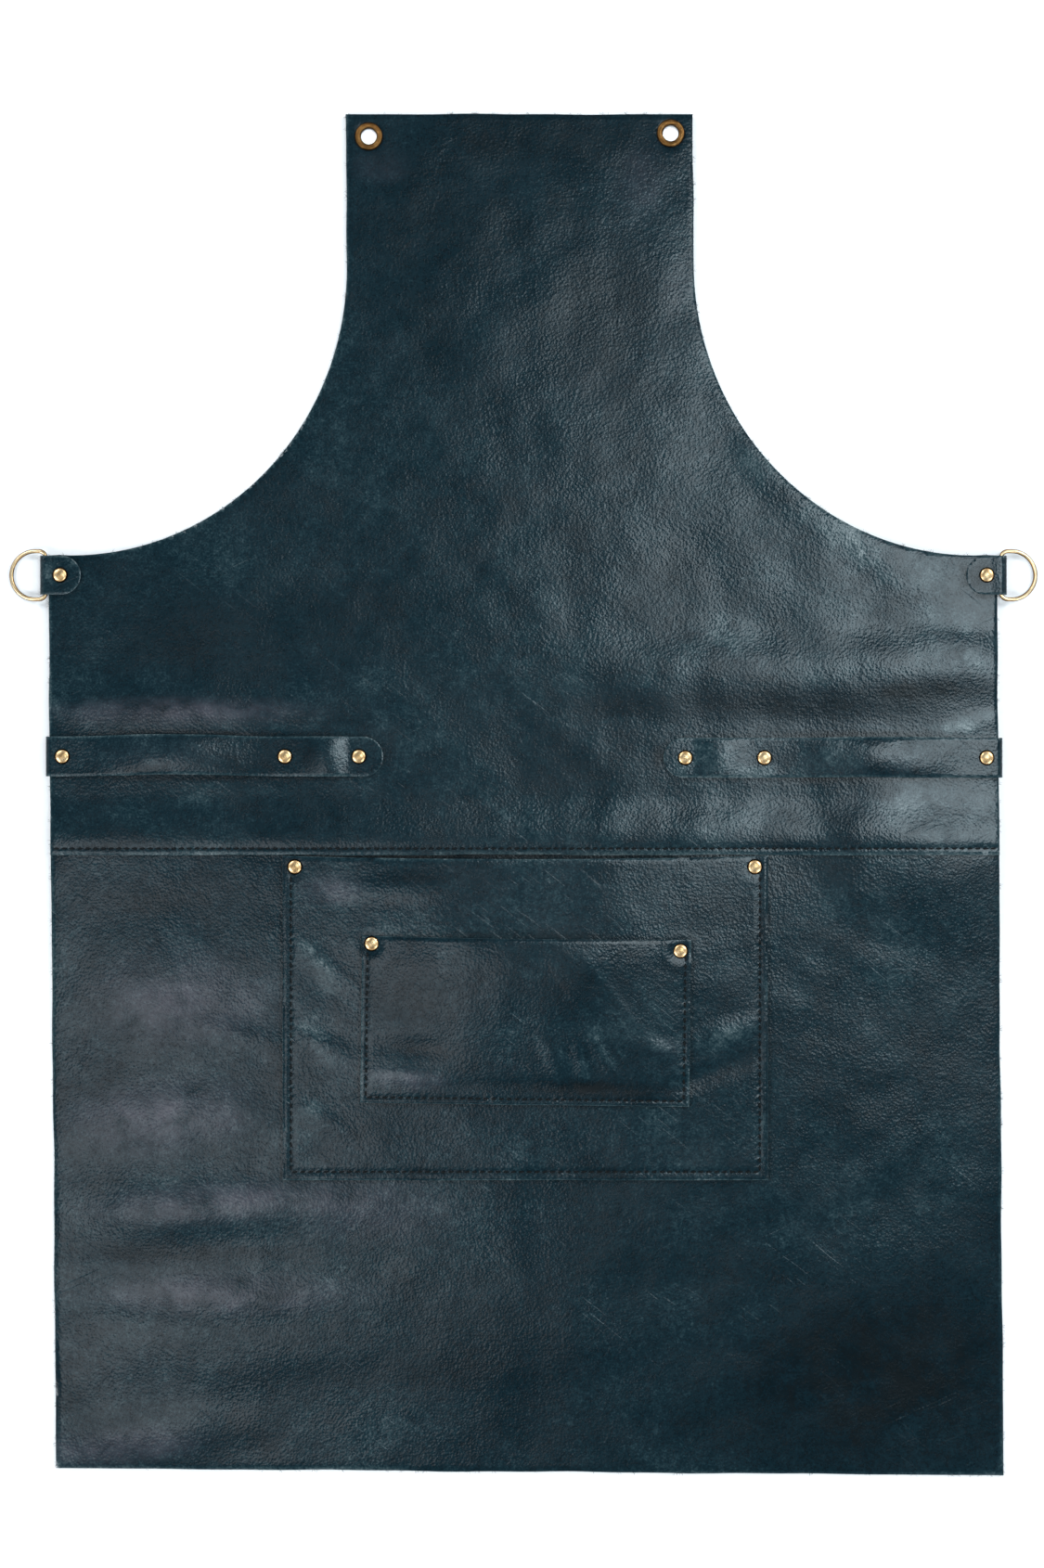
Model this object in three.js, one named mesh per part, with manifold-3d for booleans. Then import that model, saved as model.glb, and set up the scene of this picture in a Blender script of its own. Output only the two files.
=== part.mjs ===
// Leather grill apron, lying front up on a table.
// Millimetres: +X is to the right seen from the front, +Y runs from the hem to the bib, +Z is up.
// The origin is on the table, below the middle of the apron's box.

import * as THREE from 'three';
import { mergeVertices } from 'three/addons/utils/BufferGeometryUtils.js';
import Module from 'manifold-3d';

const wasm = await Module();
wasm.setup();

// Hide, and how the layers lie on each other
const LEATHER = 1.8;
const GAP = 0.3;
const PLY = LEATHER + GAP;
const TABLE_CLEAR = 0.2;

// Cut outline of the two panels, upright and about their centre line
const APRON_WIDTH = 600;
const BIB_WIDTH = 219.6;
const TOP_Y = 431;
const BIB_SIDE = 95;
const ARMHOLE_WIDTH = 176;
const ARMHOLE_DROP = 184.5;
const SEAM_EDGE_Y = -38;
const SEAM_LAP = 10;
const HEM_LEFT_Y = -426.4;
const HEM_RIGHT_Y = -431;
const ARMHOLE_FLAT = (APRON_WIDTH - BIB_WIDTH) / 2 - ARMHOLE_WIDTH;
const UNDERARM_Y = TOP_Y - BIB_SIDE - ARMHOLE_DROP;

// The panels were cut a little out of square: the centre line leans as it rises
const CENTRE_X = 0.65;
const LEAN = 0.0079;

// Patch pockets: middle, size, turn in degrees, sag of the mouth, how far the front stands off,
// and how far in from its sewn sides and bottom it starts to rise and is fully off
const LARGE_POCKET = {
  x: 1.2, y: -141.2, width: 307.2, height: 205.3, turn: 0, sag: 2.0,
  bulge: 5.0, border: 14, sidePlateau: 46, bottomPlateau: 110,
};
const SMALL_POCKET = {
  x: 1.4, y: -143.1, width: 208, height: 105.6, turn: -0.71, sag: 0.6,
  bulge: 4.3, border: 18, sidePlateau: 58, bottomPlateau: 78,
};

// Towel straps: distances run outwards from x = 0, rivets from the inner end to the side edge
const STRAP_WIDTH = 25.2;
const STRAP_SEAT = 8;
const STRAP_BACK_FLAP = 24;
const STRAP_FOLD_INSET = 0.4;
const STRAPS = [
  { side: 'left', outward: -1, y: 24.3, innerEnd: 88.8, rivets: [104.1, 150.9, 291.5], rises: [6.4, 9] },
  { side: 'right', outward: 1, y: 23.5, innerEnd: 88.7, rivets: [102.4, 152.4, 292.8], rises: [6.4, 9] },
];

// Folded tabs and the wire rings whose straight bar lies in the fold
const TAB_Y = 139;
const TAB_WIDTH = 24.5;
const TAB_INNER_END = 280;
const TAB_RIVET = 292.9;
const BAR_X = 302.3;
const WIRE = 2.6;
const BAR_PLAY = 0.3;
const RING_HALF_HEIGHT = 15.2;
const RING_DEPTH = 22.1;
const RING_CORNER = 4;
const RING_BUTT_GAP = 0.2;
const RING_TABLE_GAP = 0.05;
const SIDES = [
  { side: 'left', outward: -1 },
  { side: 'right', outward: 1 },
];

// Eyelets and rivets
const EYELETS = [
  { side: 'left', x: -97.9, y: 416.8 },
  { side: 'right', x: 93.2, y: 418.8 },
];
const EYELET_BORE = 10;
const EYELET_TUBE = 11;
const EYELET_FLANGE = 18;
const EYELET_ROLL = 15;
const EYELET_FLANGE_RIM = { inset: 0.4, height: 0.7 };
const EYELET_CROWN = 1.3;
const EYELET_MOUTH = { flare: 0.3, top: 0.8, bottom: 0.2 };
const EYELET_ROLL_BEVEL = 0.5;
const CAP_DIAMETER = 9;
const CAP_HEIGHT = 2;
const CAP_RIM = { inset: 0.2, heightShare: 0.4 };
const CAP_SHOULDER = { radiusShare: 0.62, heightShare: 0.85 };
const BACK_CAP_DIAMETER = 8;
const BACK_CAP = 0.8;
const BACK_CAP_BEVEL = 0.4;
const POST_DIAMETER = 3.2;
const POST_HOLE = POST_DIAMETER + 2 * GAP;
const LARGE_POCKET_RIVETS = [
  { side: 'left', x: -144.6, y: -45.5 },
  { side: 'right', x: 146.4, y: -45.5 },
];
const SMALL_POCKET_RIVETS = [
  { side: 'left', x: -95.9, y: -94.0 },
  { side: 'right', x: 99.2, y: -98.6 },
];

// Soft hills where the hide stands off the table: middle, height, half length, half width, turn in degrees
const HILLS = [
  { x: -15, y: 330, height: 2.6, length: 95, width: 75, turn: 60 },
  { x: 195, y: 205, height: 3.2, length: 95, width: 60, turn: -40 },
  { x: 175, y: 95, height: 3.4, length: 85, width: 40, turn: -25 },
  { x: -175, y: 120, height: 3.0, length: 90, width: 60, turn: 20 },
  { x: 0, y: 95, height: 3.0, length: 78, width: 70, turn: 0 },
  { x: -235, y: -120, height: 3.0, length: 70, width: 55, turn: 0 },
  { x: -225, y: -262, height: 3.4, length: 85, width: 42, turn: 6 },
  { x: -180, y: -350, height: 2.8, length: 100, width: 40, turn: 0 },
  { x: 30, y: -335, height: 3.0, length: 110, width: 60, turn: -8 },
  { x: 230, y: -150, height: 2.8, length: 75, width: 65, turn: 90 },
  { x: 230, y: -310, height: 3.2, length: 85, width: 55, turn: 25 },
];

// Heights above the table of the lowest hide at a rivet, and of the panel where a flap is folded below it
const LOW_SEAT = TABLE_CLEAR + BACK_CAP + GAP;
const HIGH_SEAT = LOW_SEAT + PLY;
const SMALL_SEAT = { flat: 42, reach: 95 };
const FOLD_SEAT = { flat: 50, reach: 108 };

// Square grids that the sheets are bent on: the pockets' grid halves the panels'. Steps of curves follow
const PANEL_GRID = 28;
const POCKET_GRID = PANEL_GRID / 2;
const ARC_STEPS = 16;
const ARCH_STEPS = 10;
const FOLD_STEPS = 6;
const RING_STEPS = 42;
const ROUND_SIDES = 10;
const WIRE_SIDES = 8;
const EYELET_SIDES = 16;
const CUT_FROM = -5;
const CUT_TO = 40;

const brass = () => new THREE.MeshStandardMaterial({ color: '#8c7248', metalness: 1, roughness: 0.4 });
const hide = () => new THREE.MeshStandardMaterial({ color: '#25353c', metalness: 0, roughness: 0.55 });

const centreX = (y) => CENTRE_X - LEAN * y;
const sideEdge = (outward, y) => APRON_WIDTH / 2 + outward * centreX(y);

// Booleans on closed geometries

function toSolid(geometry) {
  const bare = geometry.index ? geometry.toNonIndexed() : geometry.clone();
  bare.deleteAttribute('normal');
  bare.deleteAttribute('uv');
  const merged = mergeVertices(bare);
  return new wasm.Manifold(new wasm.Mesh({
    numProp: 3,
    vertProperties: Float32Array.from(merged.attributes.position.array),
    triVerts: Uint32Array.from(merged.index.array),
  }));
}

function toGeometry(solid) {
  const mesh = solid.getMesh();
  const geometry = new THREE.BufferGeometry();
  geometry.setAttribute('position', new THREE.BufferAttribute(Float32Array.from(mesh.vertProperties), 3));
  geometry.setIndex(new THREE.BufferAttribute(Uint32Array.from(mesh.triVerts), 1));
  geometry.computeVertexNormals();
  return geometry;
}

// A plan shape raised to a block that reaches through everything, to trim a sheet to its cut outline
function planBlock(shape) {
  const block = new THREE.ExtrudeGeometry(shape, {
    depth: CUT_TO - CUT_FROM,
    bevelEnabled: false,
    curveSegments: ARC_STEPS,
  });
  return block.translate(0, 0, CUT_FROM);
}

function punch({ x, y }, diameter) {
  const drill = new THREE.CylinderGeometry(diameter / 2, diameter / 2, CUT_TO - CUT_FROM, ROUND_SIDES);
  return drill.rotateX(Math.PI / 2).translate(x, y, (CUT_FROM + CUT_TO) / 2);
}

function trimmed(body, block, holes) {
  const cut = toSolid(body).intersect(toSolid(block));
  return toGeometry(holes.reduce((rest, hole) => rest.subtract(toSolid(hole)), cut));
}

// Height of the panels' underside above the table

function hillHeight(x, y) {
  let height = 0;
  for (const hill of HILLS) {
    const place = new THREE.Vector2(x - hill.x, y - hill.y);
    place.rotateAround(new THREE.Vector2(), -THREE.MathUtils.degToRad(hill.turn));
    const reach = Math.min(1, Math.hypot(place.x / hill.length, place.y / hill.width));
    height += hill.height * Math.cos(reach * Math.PI / 2) ** 2;
  }
  return height;
}

const outerRivet = (strap) => strap.rivets[strap.rivets.length - 1];
const lowPlaces = [
  ...EYELETS,
  ...LARGE_POCKET_RIVETS,
  ...STRAPS.flatMap((strap) => strap.rivets.slice(0, -1).map((d) => ({ x: strap.outward * d, y: strap.y }))),
];
const foldPlaces = [
  ...STRAPS.map((strap) => ({ x: strap.outward * outerRivet(strap), y: strap.y })),
  ...SIDES.map(({ outward }) => ({ x: outward * TAB_RIVET, y: TAB_Y })),
];
const seats = [
  ...lowPlaces.map((place) => ({ ...place, ...SMALL_SEAT, height: LOW_SEAT })),
  ...foldPlaces.map((place) => ({ ...place, ...FOLD_SEAT, height: HIGH_SEAT })),
];

function seatHeight(x, y) {
  const heights = seats.map((seat) => {
    const distance = Math.hypot(x - seat.x, y - seat.y);
    return seat.height * (1 - THREE.MathUtils.smoothstep(distance, seat.flat, seat.reach));
  });
  return Math.max(...heights);
}

// Height on the panels' own facets, each grid square creased from its lower left to its upper right,
// so that every layer above follows the same creases
function drape(x, y) {
  const column = Math.floor(x / PANEL_GRID);
  const row = Math.floor(y / PANEL_GRID);
  const across = x / PANEL_GRID - column;
  const up = y / PANEL_GRID - row;
  const corner = (i, j) => {
    const place = [(column + i) * PANEL_GRID, (row + j) * PANEL_GRID];
    return Math.max(hillHeight(...place), seatHeight(...place));
  };
  const middle = across > up ? corner(1, 0) : corner(0, 1);
  const near = Math.max(across, up);
  const far = Math.min(across, up);
  return corner(0, 0) * (1 - near) + middle * (near - far) + corner(1, 1) * far;
}

// The upper panel rides over the lower one along the seam, then comes down to the table
function upperUnderside(x, y) {
  const lapTop = SEAM_EDGE_Y + SEAM_LAP;
  return drape(x, y) + PLY * (1 - THREE.MathUtils.clamp((y - lapTop) / PANEL_GRID, 0, 1));
}

// Stand-off of a pocket front: none along the sewn sides and the bottom, full inside and at the mouth
function standOff(pocket, x, y) {
  const place = new THREE.Vector2(x - pocket.x, y - pocket.y);
  place.rotateAround(new THREE.Vector2(), -THREE.MathUtils.degToRad(pocket.turn));
  const fromSide = pocket.width / 2 - Math.abs(place.x);
  const fromBottom = pocket.height / 2 + place.y;
  const swell = (inset, plateau) => THREE.MathUtils.smoothstep(inset, pocket.border, plateau);
  return pocket.bulge * swell(fromSide, pocket.sidePlateau) * swell(fromBottom, pocket.bottomPlateau);
}

const largeUnderside = (x, y) => drape(x, y) + PLY + standOff(LARGE_POCKET, x, y);
const smallUnderside = (x, y) => largeUnderside(x, y) + PLY + standOff(SMALL_POCKET, x, y);

// A slab of hide on a square grid, bent over what lies below it
function bentSlab({ left, right, bottom, top, grid }, underside) {
  const columns = Math.round((right - left) / grid);
  const rows = Math.round((top - bottom) / grid);
  const slab = new THREE.BoxGeometry(right - left, top - bottom, LEATHER, columns, rows, 1);
  slab.translate((left + right) / 2, (bottom + top) / 2, LEATHER / 2);
  const places = slab.attributes.position;
  for (let i = 0; i < places.count; i += 1) {
    places.setZ(i, places.getZ(i) + underside(places.getX(i), places.getY(i)));
  }

  // The box's last face is its underside, whose squares are creased the other way: turn those creases
  const { start, count } = slab.groups[slab.groups.length - 1];
  const corners = slab.index.array;
  for (let i = start; i < start + count; i += 6) {
    const [a, b, d, , c] = corners.slice(i, i + 6);
    corners.set([a, b, c, a, c, d], i);
  }
  return slab;
}

// Grid field that covers a box, with its lines on whole multiples of the grid
function gridField(left, right, bottom, top, grid) {
  return {
    left: Math.floor(left / grid) * grid,
    right: Math.ceil(right / grid) * grid,
    bottom: Math.floor(bottom / grid) * grid,
    top: Math.ceil(top / grid) * grid,
    grid,
  };
}

// Panels

function leaning(block) {
  const places = block.attributes.position;
  for (let i = 0; i < places.count; i += 1) {
    places.setX(i, places.getX(i) + centreX(places.getY(i)));
  }
  return block;
}

function upperOutline() {
  const half = APRON_WIDTH / 2;
  const bib = BIB_WIDTH / 2;
  const arcX = half - ARMHOLE_FLAT;
  const arcY = UNDERARM_Y + ARMHOLE_DROP;
  const shape = new THREE.Shape();
  shape.moveTo(-half, SEAM_EDGE_Y).lineTo(half, SEAM_EDGE_Y).lineTo(half, UNDERARM_Y);
  shape.absellipse(arcX, arcY, ARMHOLE_WIDTH, ARMHOLE_DROP, -Math.PI / 2, -Math.PI, true);
  shape.lineTo(bib, TOP_Y).lineTo(-bib, TOP_Y);
  shape.absellipse(-arcX, arcY, ARMHOLE_WIDTH, ARMHOLE_DROP, 0, -Math.PI / 2, true);
  shape.lineTo(-half, UNDERARM_Y);
  return shape;
}

function lowerOutline() {
  const half = APRON_WIDTH / 2;
  const shape = new THREE.Shape();
  shape.moveTo(-half, HEM_LEFT_Y).lineTo(half, HEM_RIGHT_Y);
  shape.lineTo(half, SEAM_EDGE_Y + SEAM_LAP).lineTo(-half, SEAM_EDGE_Y + SEAM_LAP);
  return shape;
}

const panelReach = APRON_WIDTH / 2 + PANEL_GRID / 4;
const strapHoles = STRAPS.flatMap((strap) => (
  strap.rivets.map((d) => punch({ x: strap.outward * d, y: strap.y }, POST_HOLE))
));
const tabHoles = SIDES.map(({ outward }) => punch({ x: outward * TAB_RIVET, y: TAB_Y }, POST_HOLE));
const eyeletHoles = EYELETS.map((eyelet) => punch(eyelet, EYELET_TUBE + 2 * GAP));
const largePocketHoles = LARGE_POCKET_RIVETS.map((rivet) => punch(rivet, POST_HOLE));
const smallPocketHoles = SMALL_POCKET_RIVETS.map((rivet) => punch(rivet, POST_HOLE));

function upperPanel() {
  const field = gridField(-panelReach, panelReach, SEAM_EDGE_Y, TOP_Y, PANEL_GRID);
  const slab = bentSlab(field, upperUnderside);
  return trimmed(slab, leaning(planBlock(upperOutline())), [...strapHoles, ...tabHoles, ...eyeletHoles]);
}

function lowerPanel() {
  const field = gridField(-panelReach, panelReach, HEM_RIGHT_Y, SEAM_EDGE_Y + SEAM_LAP + GAP, PANEL_GRID);
  return trimmed(bentSlab(field, drape), leaning(planBlock(lowerOutline())), largePocketHoles);
}

// Pockets

function pocketPanel(pocket, underside, holes) {
  const halfWidth = pocket.width / 2;
  const halfHeight = pocket.height / 2;
  const shape = new THREE.Shape();
  shape.moveTo(halfWidth, halfHeight);
  shape.quadraticCurveTo(0, halfHeight - 2 * pocket.sag, -halfWidth, halfHeight);
  shape.lineTo(-halfWidth, -halfHeight).lineTo(halfWidth, -halfHeight);
  const block = planBlock(shape).rotateZ(THREE.MathUtils.degToRad(pocket.turn)).translate(pocket.x, pocket.y, 0);
  const { min, max } = new THREE.Box3().setFromBufferAttribute(block.attributes.position);
  const field = gridField(min.x, max.x, min.y, max.y, POCKET_GRID);
  return trimmed(bentSlab(field, underside), block, holes);
}

// Folded strips of hide: a path in the vertical XZ plane, given the hide's thickness and the strip's width

function stripAlong(path, width, y) {
  const normals = path.map((point, i) => {
    const before = path[Math.max(0, i - 1)];
    const after = path[Math.min(path.length - 1, i + 1)];
    const run = after.clone().sub(before).normalize();
    return new THREE.Vector2(-run.y, run.x).multiplyScalar(LEATHER / 2);
  });
  const near = path.map((point, i) => point.clone().add(normals[i]));
  const far = path.map((point, i) => point.clone().sub(normals[i])).reverse();
  const strip = new THREE.ExtrudeGeometry(new THREE.Shape([...near, ...far]), { depth: width, bevelEnabled: false });
  return strip.rotateX(Math.PI / 2).translate(0, y + width / 2, 0);
}

// Half turn of the fold, from above its middle to below it
function foldArc(outward, middleD, middleZ, radius) {
  return Array.from({ length: FOLD_STEPS + 1 }, (_, i) => {
    const angle = Math.PI / 2 - Math.PI * i / FOLD_STEPS;
    return new THREE.Vector2(outward * (middleD + radius * Math.cos(angle)), middleZ + radius * Math.sin(angle));
  });
}

// Plan of a strip with a round inner end
function roundEndPlan(outward, innerEnd, outerEnd, width, y) {
  const radius = width / 2;
  const middle = outward * (innerEnd + radius);
  const shape = new THREE.Shape();
  shape.moveTo(outward * outerEnd, y - radius).lineTo(middle, y - radius);
  shape.absarc(middle, y, radius, -Math.PI / 2, Math.PI / 2, outward > 0);
  shape.lineTo(outward * outerEnd, y + radius);
  return planBlock(shape);
}

// Middle of the panel's thickness where a flap is folded round its edge
const FOLD_MIDDLE_Z = HIGH_SEAT + LEATHER / 2;

function towelStrap(strap) {
  const { outward, y, innerEnd, rivets, rises } = strap;
  const stations = rivets.map((d) => ({ d, z: LOW_SEAT + PLY + LEATHER / 2 }));
  stations[stations.length - 1].z = HIGH_SEAT + PLY + LEATHER / 2;
  const at = (d, z) => new THREE.Vector2(outward * d, z);
  const path = [at(innerEnd, stations[0].z)];
  rises.forEach((rise, i) => {
    const from = stations[i];
    const to = stations[i + 1];
    const start = from.d + STRAP_SEAT;
    const span = to.d - STRAP_SEAT - start;
    for (let k = 0; k <= ARCH_STEPS; k += 1) {
      const share = k / ARCH_STEPS;
      const level = THREE.MathUtils.lerp(from.z, to.z, THREE.MathUtils.smoothstep(share, 0, 1));
      path.push(at(start + span * share, level + rise * Math.sin(Math.PI * share) ** 2));
    }
  });
  const foldD = sideEdge(outward, y) - STRAP_FOLD_INSET;
  path.push(...foldArc(outward, foldD, FOLD_MIDDLE_Z, PLY));
  path.push(at(sideEdge(outward, y) - STRAP_BACK_FLAP, FOLD_MIDDLE_Z - PLY));
  const plan = roundEndPlan(outward, innerEnd, foldD + 2 * PLY, STRAP_WIDTH, y);
  const holes = rivets.map((d) => punch({ x: outward * d, y }, POST_HOLE));
  return trimmed(stripAlong(path, STRAP_WIDTH + 2 * GAP, y), plan, holes);
}

function ringTab({ outward }) {
  const at = (d, z) => new THREE.Vector2(outward * d, z);
  const spread = sideEdge(outward, TAB_Y) - 2 * PLY;
  const foldRadius = WIRE / 2 + BAR_PLAY + LEATHER / 2;
  const path = [
    at(TAB_INNER_END, FOLD_MIDDLE_Z + PLY),
    at(spread, FOLD_MIDDLE_Z + PLY),
    ...foldArc(outward, BAR_X, FOLD_MIDDLE_Z, foldRadius),
    at(spread, FOLD_MIDDLE_Z - PLY),
    at(TAB_INNER_END, FOLD_MIDDLE_Z - PLY),
  ];
  const plan = roundEndPlan(outward, TAB_INNER_END, BAR_X + 2 * foldRadius, TAB_WIDTH, TAB_Y);
  const hole = punch({ x: outward * TAB_RIVET, y: TAB_Y }, POST_HOLE);
  return trimmed(stripAlong(path, TAB_WIDTH + 2 * GAP, TAB_Y), plan, [hole]);
}

// Bent wire ring: a straight bar along Y through the origin, butted at its middle, and a round bow towards +X

function dRing() {
  const barEnd = RING_HALF_HEIGHT - RING_CORNER;
  const bowX = RING_DEPTH - RING_HALF_HEIGHT;
  const route = new THREE.Path();
  route.moveTo(0, RING_BUTT_GAP / 2).lineTo(0, barEnd);
  route.absarc(RING_CORNER, barEnd, RING_CORNER, Math.PI, Math.PI / 2, true);
  route.absarc(bowX, 0, RING_HALF_HEIGHT, Math.PI / 2, -Math.PI / 2, true);
  route.absarc(RING_CORNER, -barEnd, RING_CORNER, -Math.PI / 2, -Math.PI, true);
  route.lineTo(0, -RING_BUTT_GAP / 2);
  const points = route.getSpacedPoints(RING_STEPS).map((point) => new THREE.Vector3(point.x, point.y, 0));
  const section = Array.from({ length: WIRE_SIDES }, (_, i) => (
    new THREE.Vector2(WIRE / 2, 0).rotateAround(new THREE.Vector2(), 2 * Math.PI * (i + 0.5) / WIRE_SIDES)
  ));
  return new THREE.ExtrudeGeometry(new THREE.Shape(section), {
    steps: RING_STEPS,
    extrudePath: new THREE.CatmullRomCurve3(points),
    bevelEnabled: false,
  });
}

// Turned pieces: profiles of radius and height, revolved about the vertical

function turned(profile, sides) {
  const points = profile.map(([radius, height]) => new THREE.Vector2(radius, height));
  return new THREE.LatheGeometry(points, sides).rotateX(Math.PI / 2);
}

// Rivet whose zero height is the underside of the lowest hide; grip is the hide between its caps
function rivet(grip) {
  const back = -GAP;
  const front = grip + GAP;
  const cap = CAP_DIAMETER / 2;
  const backCap = BACK_CAP_DIAMETER / 2;
  const post = POST_DIAMETER / 2;
  return turned([
    [0, back - BACK_CAP],
    [backCap - BACK_CAP_BEVEL, back - BACK_CAP],
    [backCap, back],
    [post, back],
    [post, front],
    [cap, front],
    [cap - CAP_RIM.inset, front + CAP_RIM.heightShare * CAP_HEIGHT],
    [cap * CAP_SHOULDER.radiusShare, front + CAP_SHOULDER.heightShare * CAP_HEIGHT],
    [0, front + CAP_HEIGHT],
  ], ROUND_SIDES);
}

// Eyelet whose zero height is the underside of the hide: domed flange, tube and rolled back
function eyelet() {
  const back = -GAP;
  const front = LEATHER + GAP;
  const bore = EYELET_BORE / 2;
  const tube = EYELET_TUBE / 2;
  const flange = EYELET_FLANGE / 2;
  const roll = EYELET_ROLL / 2;
  return turned([
    [bore, back - BACK_CAP / 2],
    [(bore + roll) / 2, back - BACK_CAP],
    [roll - EYELET_ROLL_BEVEL, back - BACK_CAP],
    [roll, back],
    [tube, back],
    [tube, front],
    [flange, front],
    [flange - EYELET_FLANGE_RIM.inset, front + EYELET_FLANGE_RIM.height],
    [(flange + bore) / 2, front + EYELET_CROWN],
    [bore + EYELET_MOUTH.flare, front + EYELET_MOUTH.top],
    [bore, front + EYELET_MOUTH.bottom],
    [bore, back - BACK_CAP / 2],
  ], EYELET_SIDES);
}

// Assembly

const apron = new THREE.Group();

function add(name, geometry, material, parent = apron) {
  const mesh = new THREE.Mesh(geometry, material);
  mesh.name = name;
  parent.add(mesh);
  return mesh;
}

add('upper_panel', upperPanel(), hide());
add('lower_panel', lowerPanel(), hide());
add('large_pocket', pocketPanel(LARGE_POCKET, largeUnderside, [...largePocketHoles, ...smallPocketHoles]), hide());
add('small_pocket', pocketPanel(SMALL_POCKET, smallUnderside, smallPocketHoles), hide());

for (const strap of STRAPS) {
  add(`${strap.side}_towel_strap`, towelStrap(strap), hide());
  strap.rivets.forEach((d, i) => {
    const plies = d === outerRivet(strap) ? 3 : 2;
    const piece = add(`${strap.side}_strap_rivet_${i + 1}`, rivet(plies * PLY - GAP), brass());
    piece.position.set(strap.outward * d, strap.y, LOW_SEAT);
  });
}

for (const side of SIDES) {
  add(`${side.side}_ring_tab`, ringTab(side), hide());
  const piece = add(`${side.side}_tab_rivet`, rivet(3 * PLY - GAP), brass());
  piece.position.set(side.outward * TAB_RIVET, TAB_Y, LOW_SEAT);

  // The ring hangs from its bar until its bow lies on the table
  const hinge = new THREE.Group();
  hinge.position.set(side.outward * BAR_X, TAB_Y, FOLD_MIDDLE_Z);
  hinge.rotation.z = side.outward > 0 ? 0 : Math.PI;
  const ring = add(`${side.side}_d_ring`, dRing(), brass(), hinge);
  ring.rotation.y = Math.asin((FOLD_MIDDLE_Z - WIRE / 2 - RING_TABLE_GAP) / RING_DEPTH);
  apron.add(hinge);
}

for (const place of EYELETS) {
  add(`${place.side}_eyelet`, eyelet(), brass()).position.set(place.x, place.y, LOW_SEAT);
}

for (const place of LARGE_POCKET_RIVETS) {
  const piece = add(`large_pocket_${place.side}_rivet`, rivet(2 * PLY - GAP), brass());
  piece.position.set(place.x, place.y, LOW_SEAT);
}

for (const place of SMALL_POCKET_RIVETS) {
  const piece = add(`small_pocket_${place.side}_rivet`, rivet(2 * PLY - GAP), brass());
  piece.position.set(place.x, place.y, largeUnderside(place.x, place.y));
}

export default apron;
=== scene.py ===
# Leather grill apron, lying front up on a pale table.
# Shapes are worked out in millimetres in the model's own frame, and scaled to metres as each mesh is made.

import math
from collections import namedtuple

import bmesh
import bpy
import numpy as np
from mathutils import Matrix, Vector


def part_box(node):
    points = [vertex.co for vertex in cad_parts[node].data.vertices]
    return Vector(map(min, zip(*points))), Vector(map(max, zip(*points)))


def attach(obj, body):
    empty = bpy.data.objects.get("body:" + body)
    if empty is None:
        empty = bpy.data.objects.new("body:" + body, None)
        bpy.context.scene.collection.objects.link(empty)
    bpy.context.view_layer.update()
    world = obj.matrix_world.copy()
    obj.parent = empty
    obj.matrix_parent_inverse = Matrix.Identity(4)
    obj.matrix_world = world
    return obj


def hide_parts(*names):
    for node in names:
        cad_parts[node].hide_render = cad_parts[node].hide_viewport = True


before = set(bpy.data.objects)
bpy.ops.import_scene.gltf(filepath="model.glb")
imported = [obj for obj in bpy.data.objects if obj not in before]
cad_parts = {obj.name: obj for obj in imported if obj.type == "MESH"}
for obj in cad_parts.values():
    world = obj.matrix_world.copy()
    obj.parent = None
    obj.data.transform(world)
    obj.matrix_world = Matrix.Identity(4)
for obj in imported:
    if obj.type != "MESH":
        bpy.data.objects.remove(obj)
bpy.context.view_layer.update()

MM = 0.001
rng = np.random.default_rng(7)

# Hide, and how its layers lie on each other
LEATHER = 1.8
GAP = 0.3
PLY = LEATHER + GAP
CUT_BORDER = 1.1
CUT_ROUNDING = 0.2
CUT_WANDER = 0.3
CUT_STEP = 9.0
EDGE_BEVEL = 0.3

# Cut outline of the two panels, about a centre line that leans a little
APRON_WIDTH = 600.0
BIB_WIDTH = 219.6
TOP_Y = 431.0
BIB_SIDE = 95.0
ARMHOLE_WIDTH = 176.0
ARMHOLE_DROP = 184.5
SEAM_EDGE_Y = -38.0
SEAM_LAP = 10.0
SEAM_RISE = 28.0
HEM_LEFT_Y = -426.4
HEM_RIGHT_Y = -431.0
UNDERARM_Y = TOP_Y - BIB_SIDE - ARMHOLE_DROP
ARMHOLE_FLAT = (APRON_WIDTH - BIB_WIDTH) / 2 - ARMHOLE_WIDTH
CENTRE_X = 0.65
LEAN = 0.0079
ARC_STEPS = 72

# Patch pockets, in their own upright axes about their middle
Pocket = namedtuple(
    "Pocket", "x y width height turn sag bulge border side_rise bottom_rise stitch_inset stitch_top"
)
LARGE_POCKET = Pocket(1.2, -141.2, 307.2, 205.3, 0.0, 2.0, 4.0, 7.0, 120.0, 150.0, 5.3, 12.5)
SMALL_POCKET = Pocket(1.4, -143.1, 208.0, 105.6, -0.71, 0.6, 3.2, 6.0, 95.0, 98.0, 3.5, 9.5)

# Towel straps: distances run outwards from x = 0, and bow is how far the long loop lies off its line
Strap = namedtuple("Strap", "side outward y inner_end rivets rises bow")
STRAPS = [
    Strap("left", -1, 24.3, 88.8, (104.1, 150.9, 291.5), (1.8, 3.6), 1.5),
    Strap("right", 1, 23.5, 88.7, (102.4, 152.4, 292.8), (1.1, 3.0), 0.4),
]
STRAP_WIDTH = 25.2
STRAP_SEAT = 5.0
STRAP_BACK_FLAP = 24.0
STRAP_FOLD_INSET = 0.4
LOOP_SKEWS = (0.8, 1.0)
LOOP_CUP = 0.4

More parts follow.
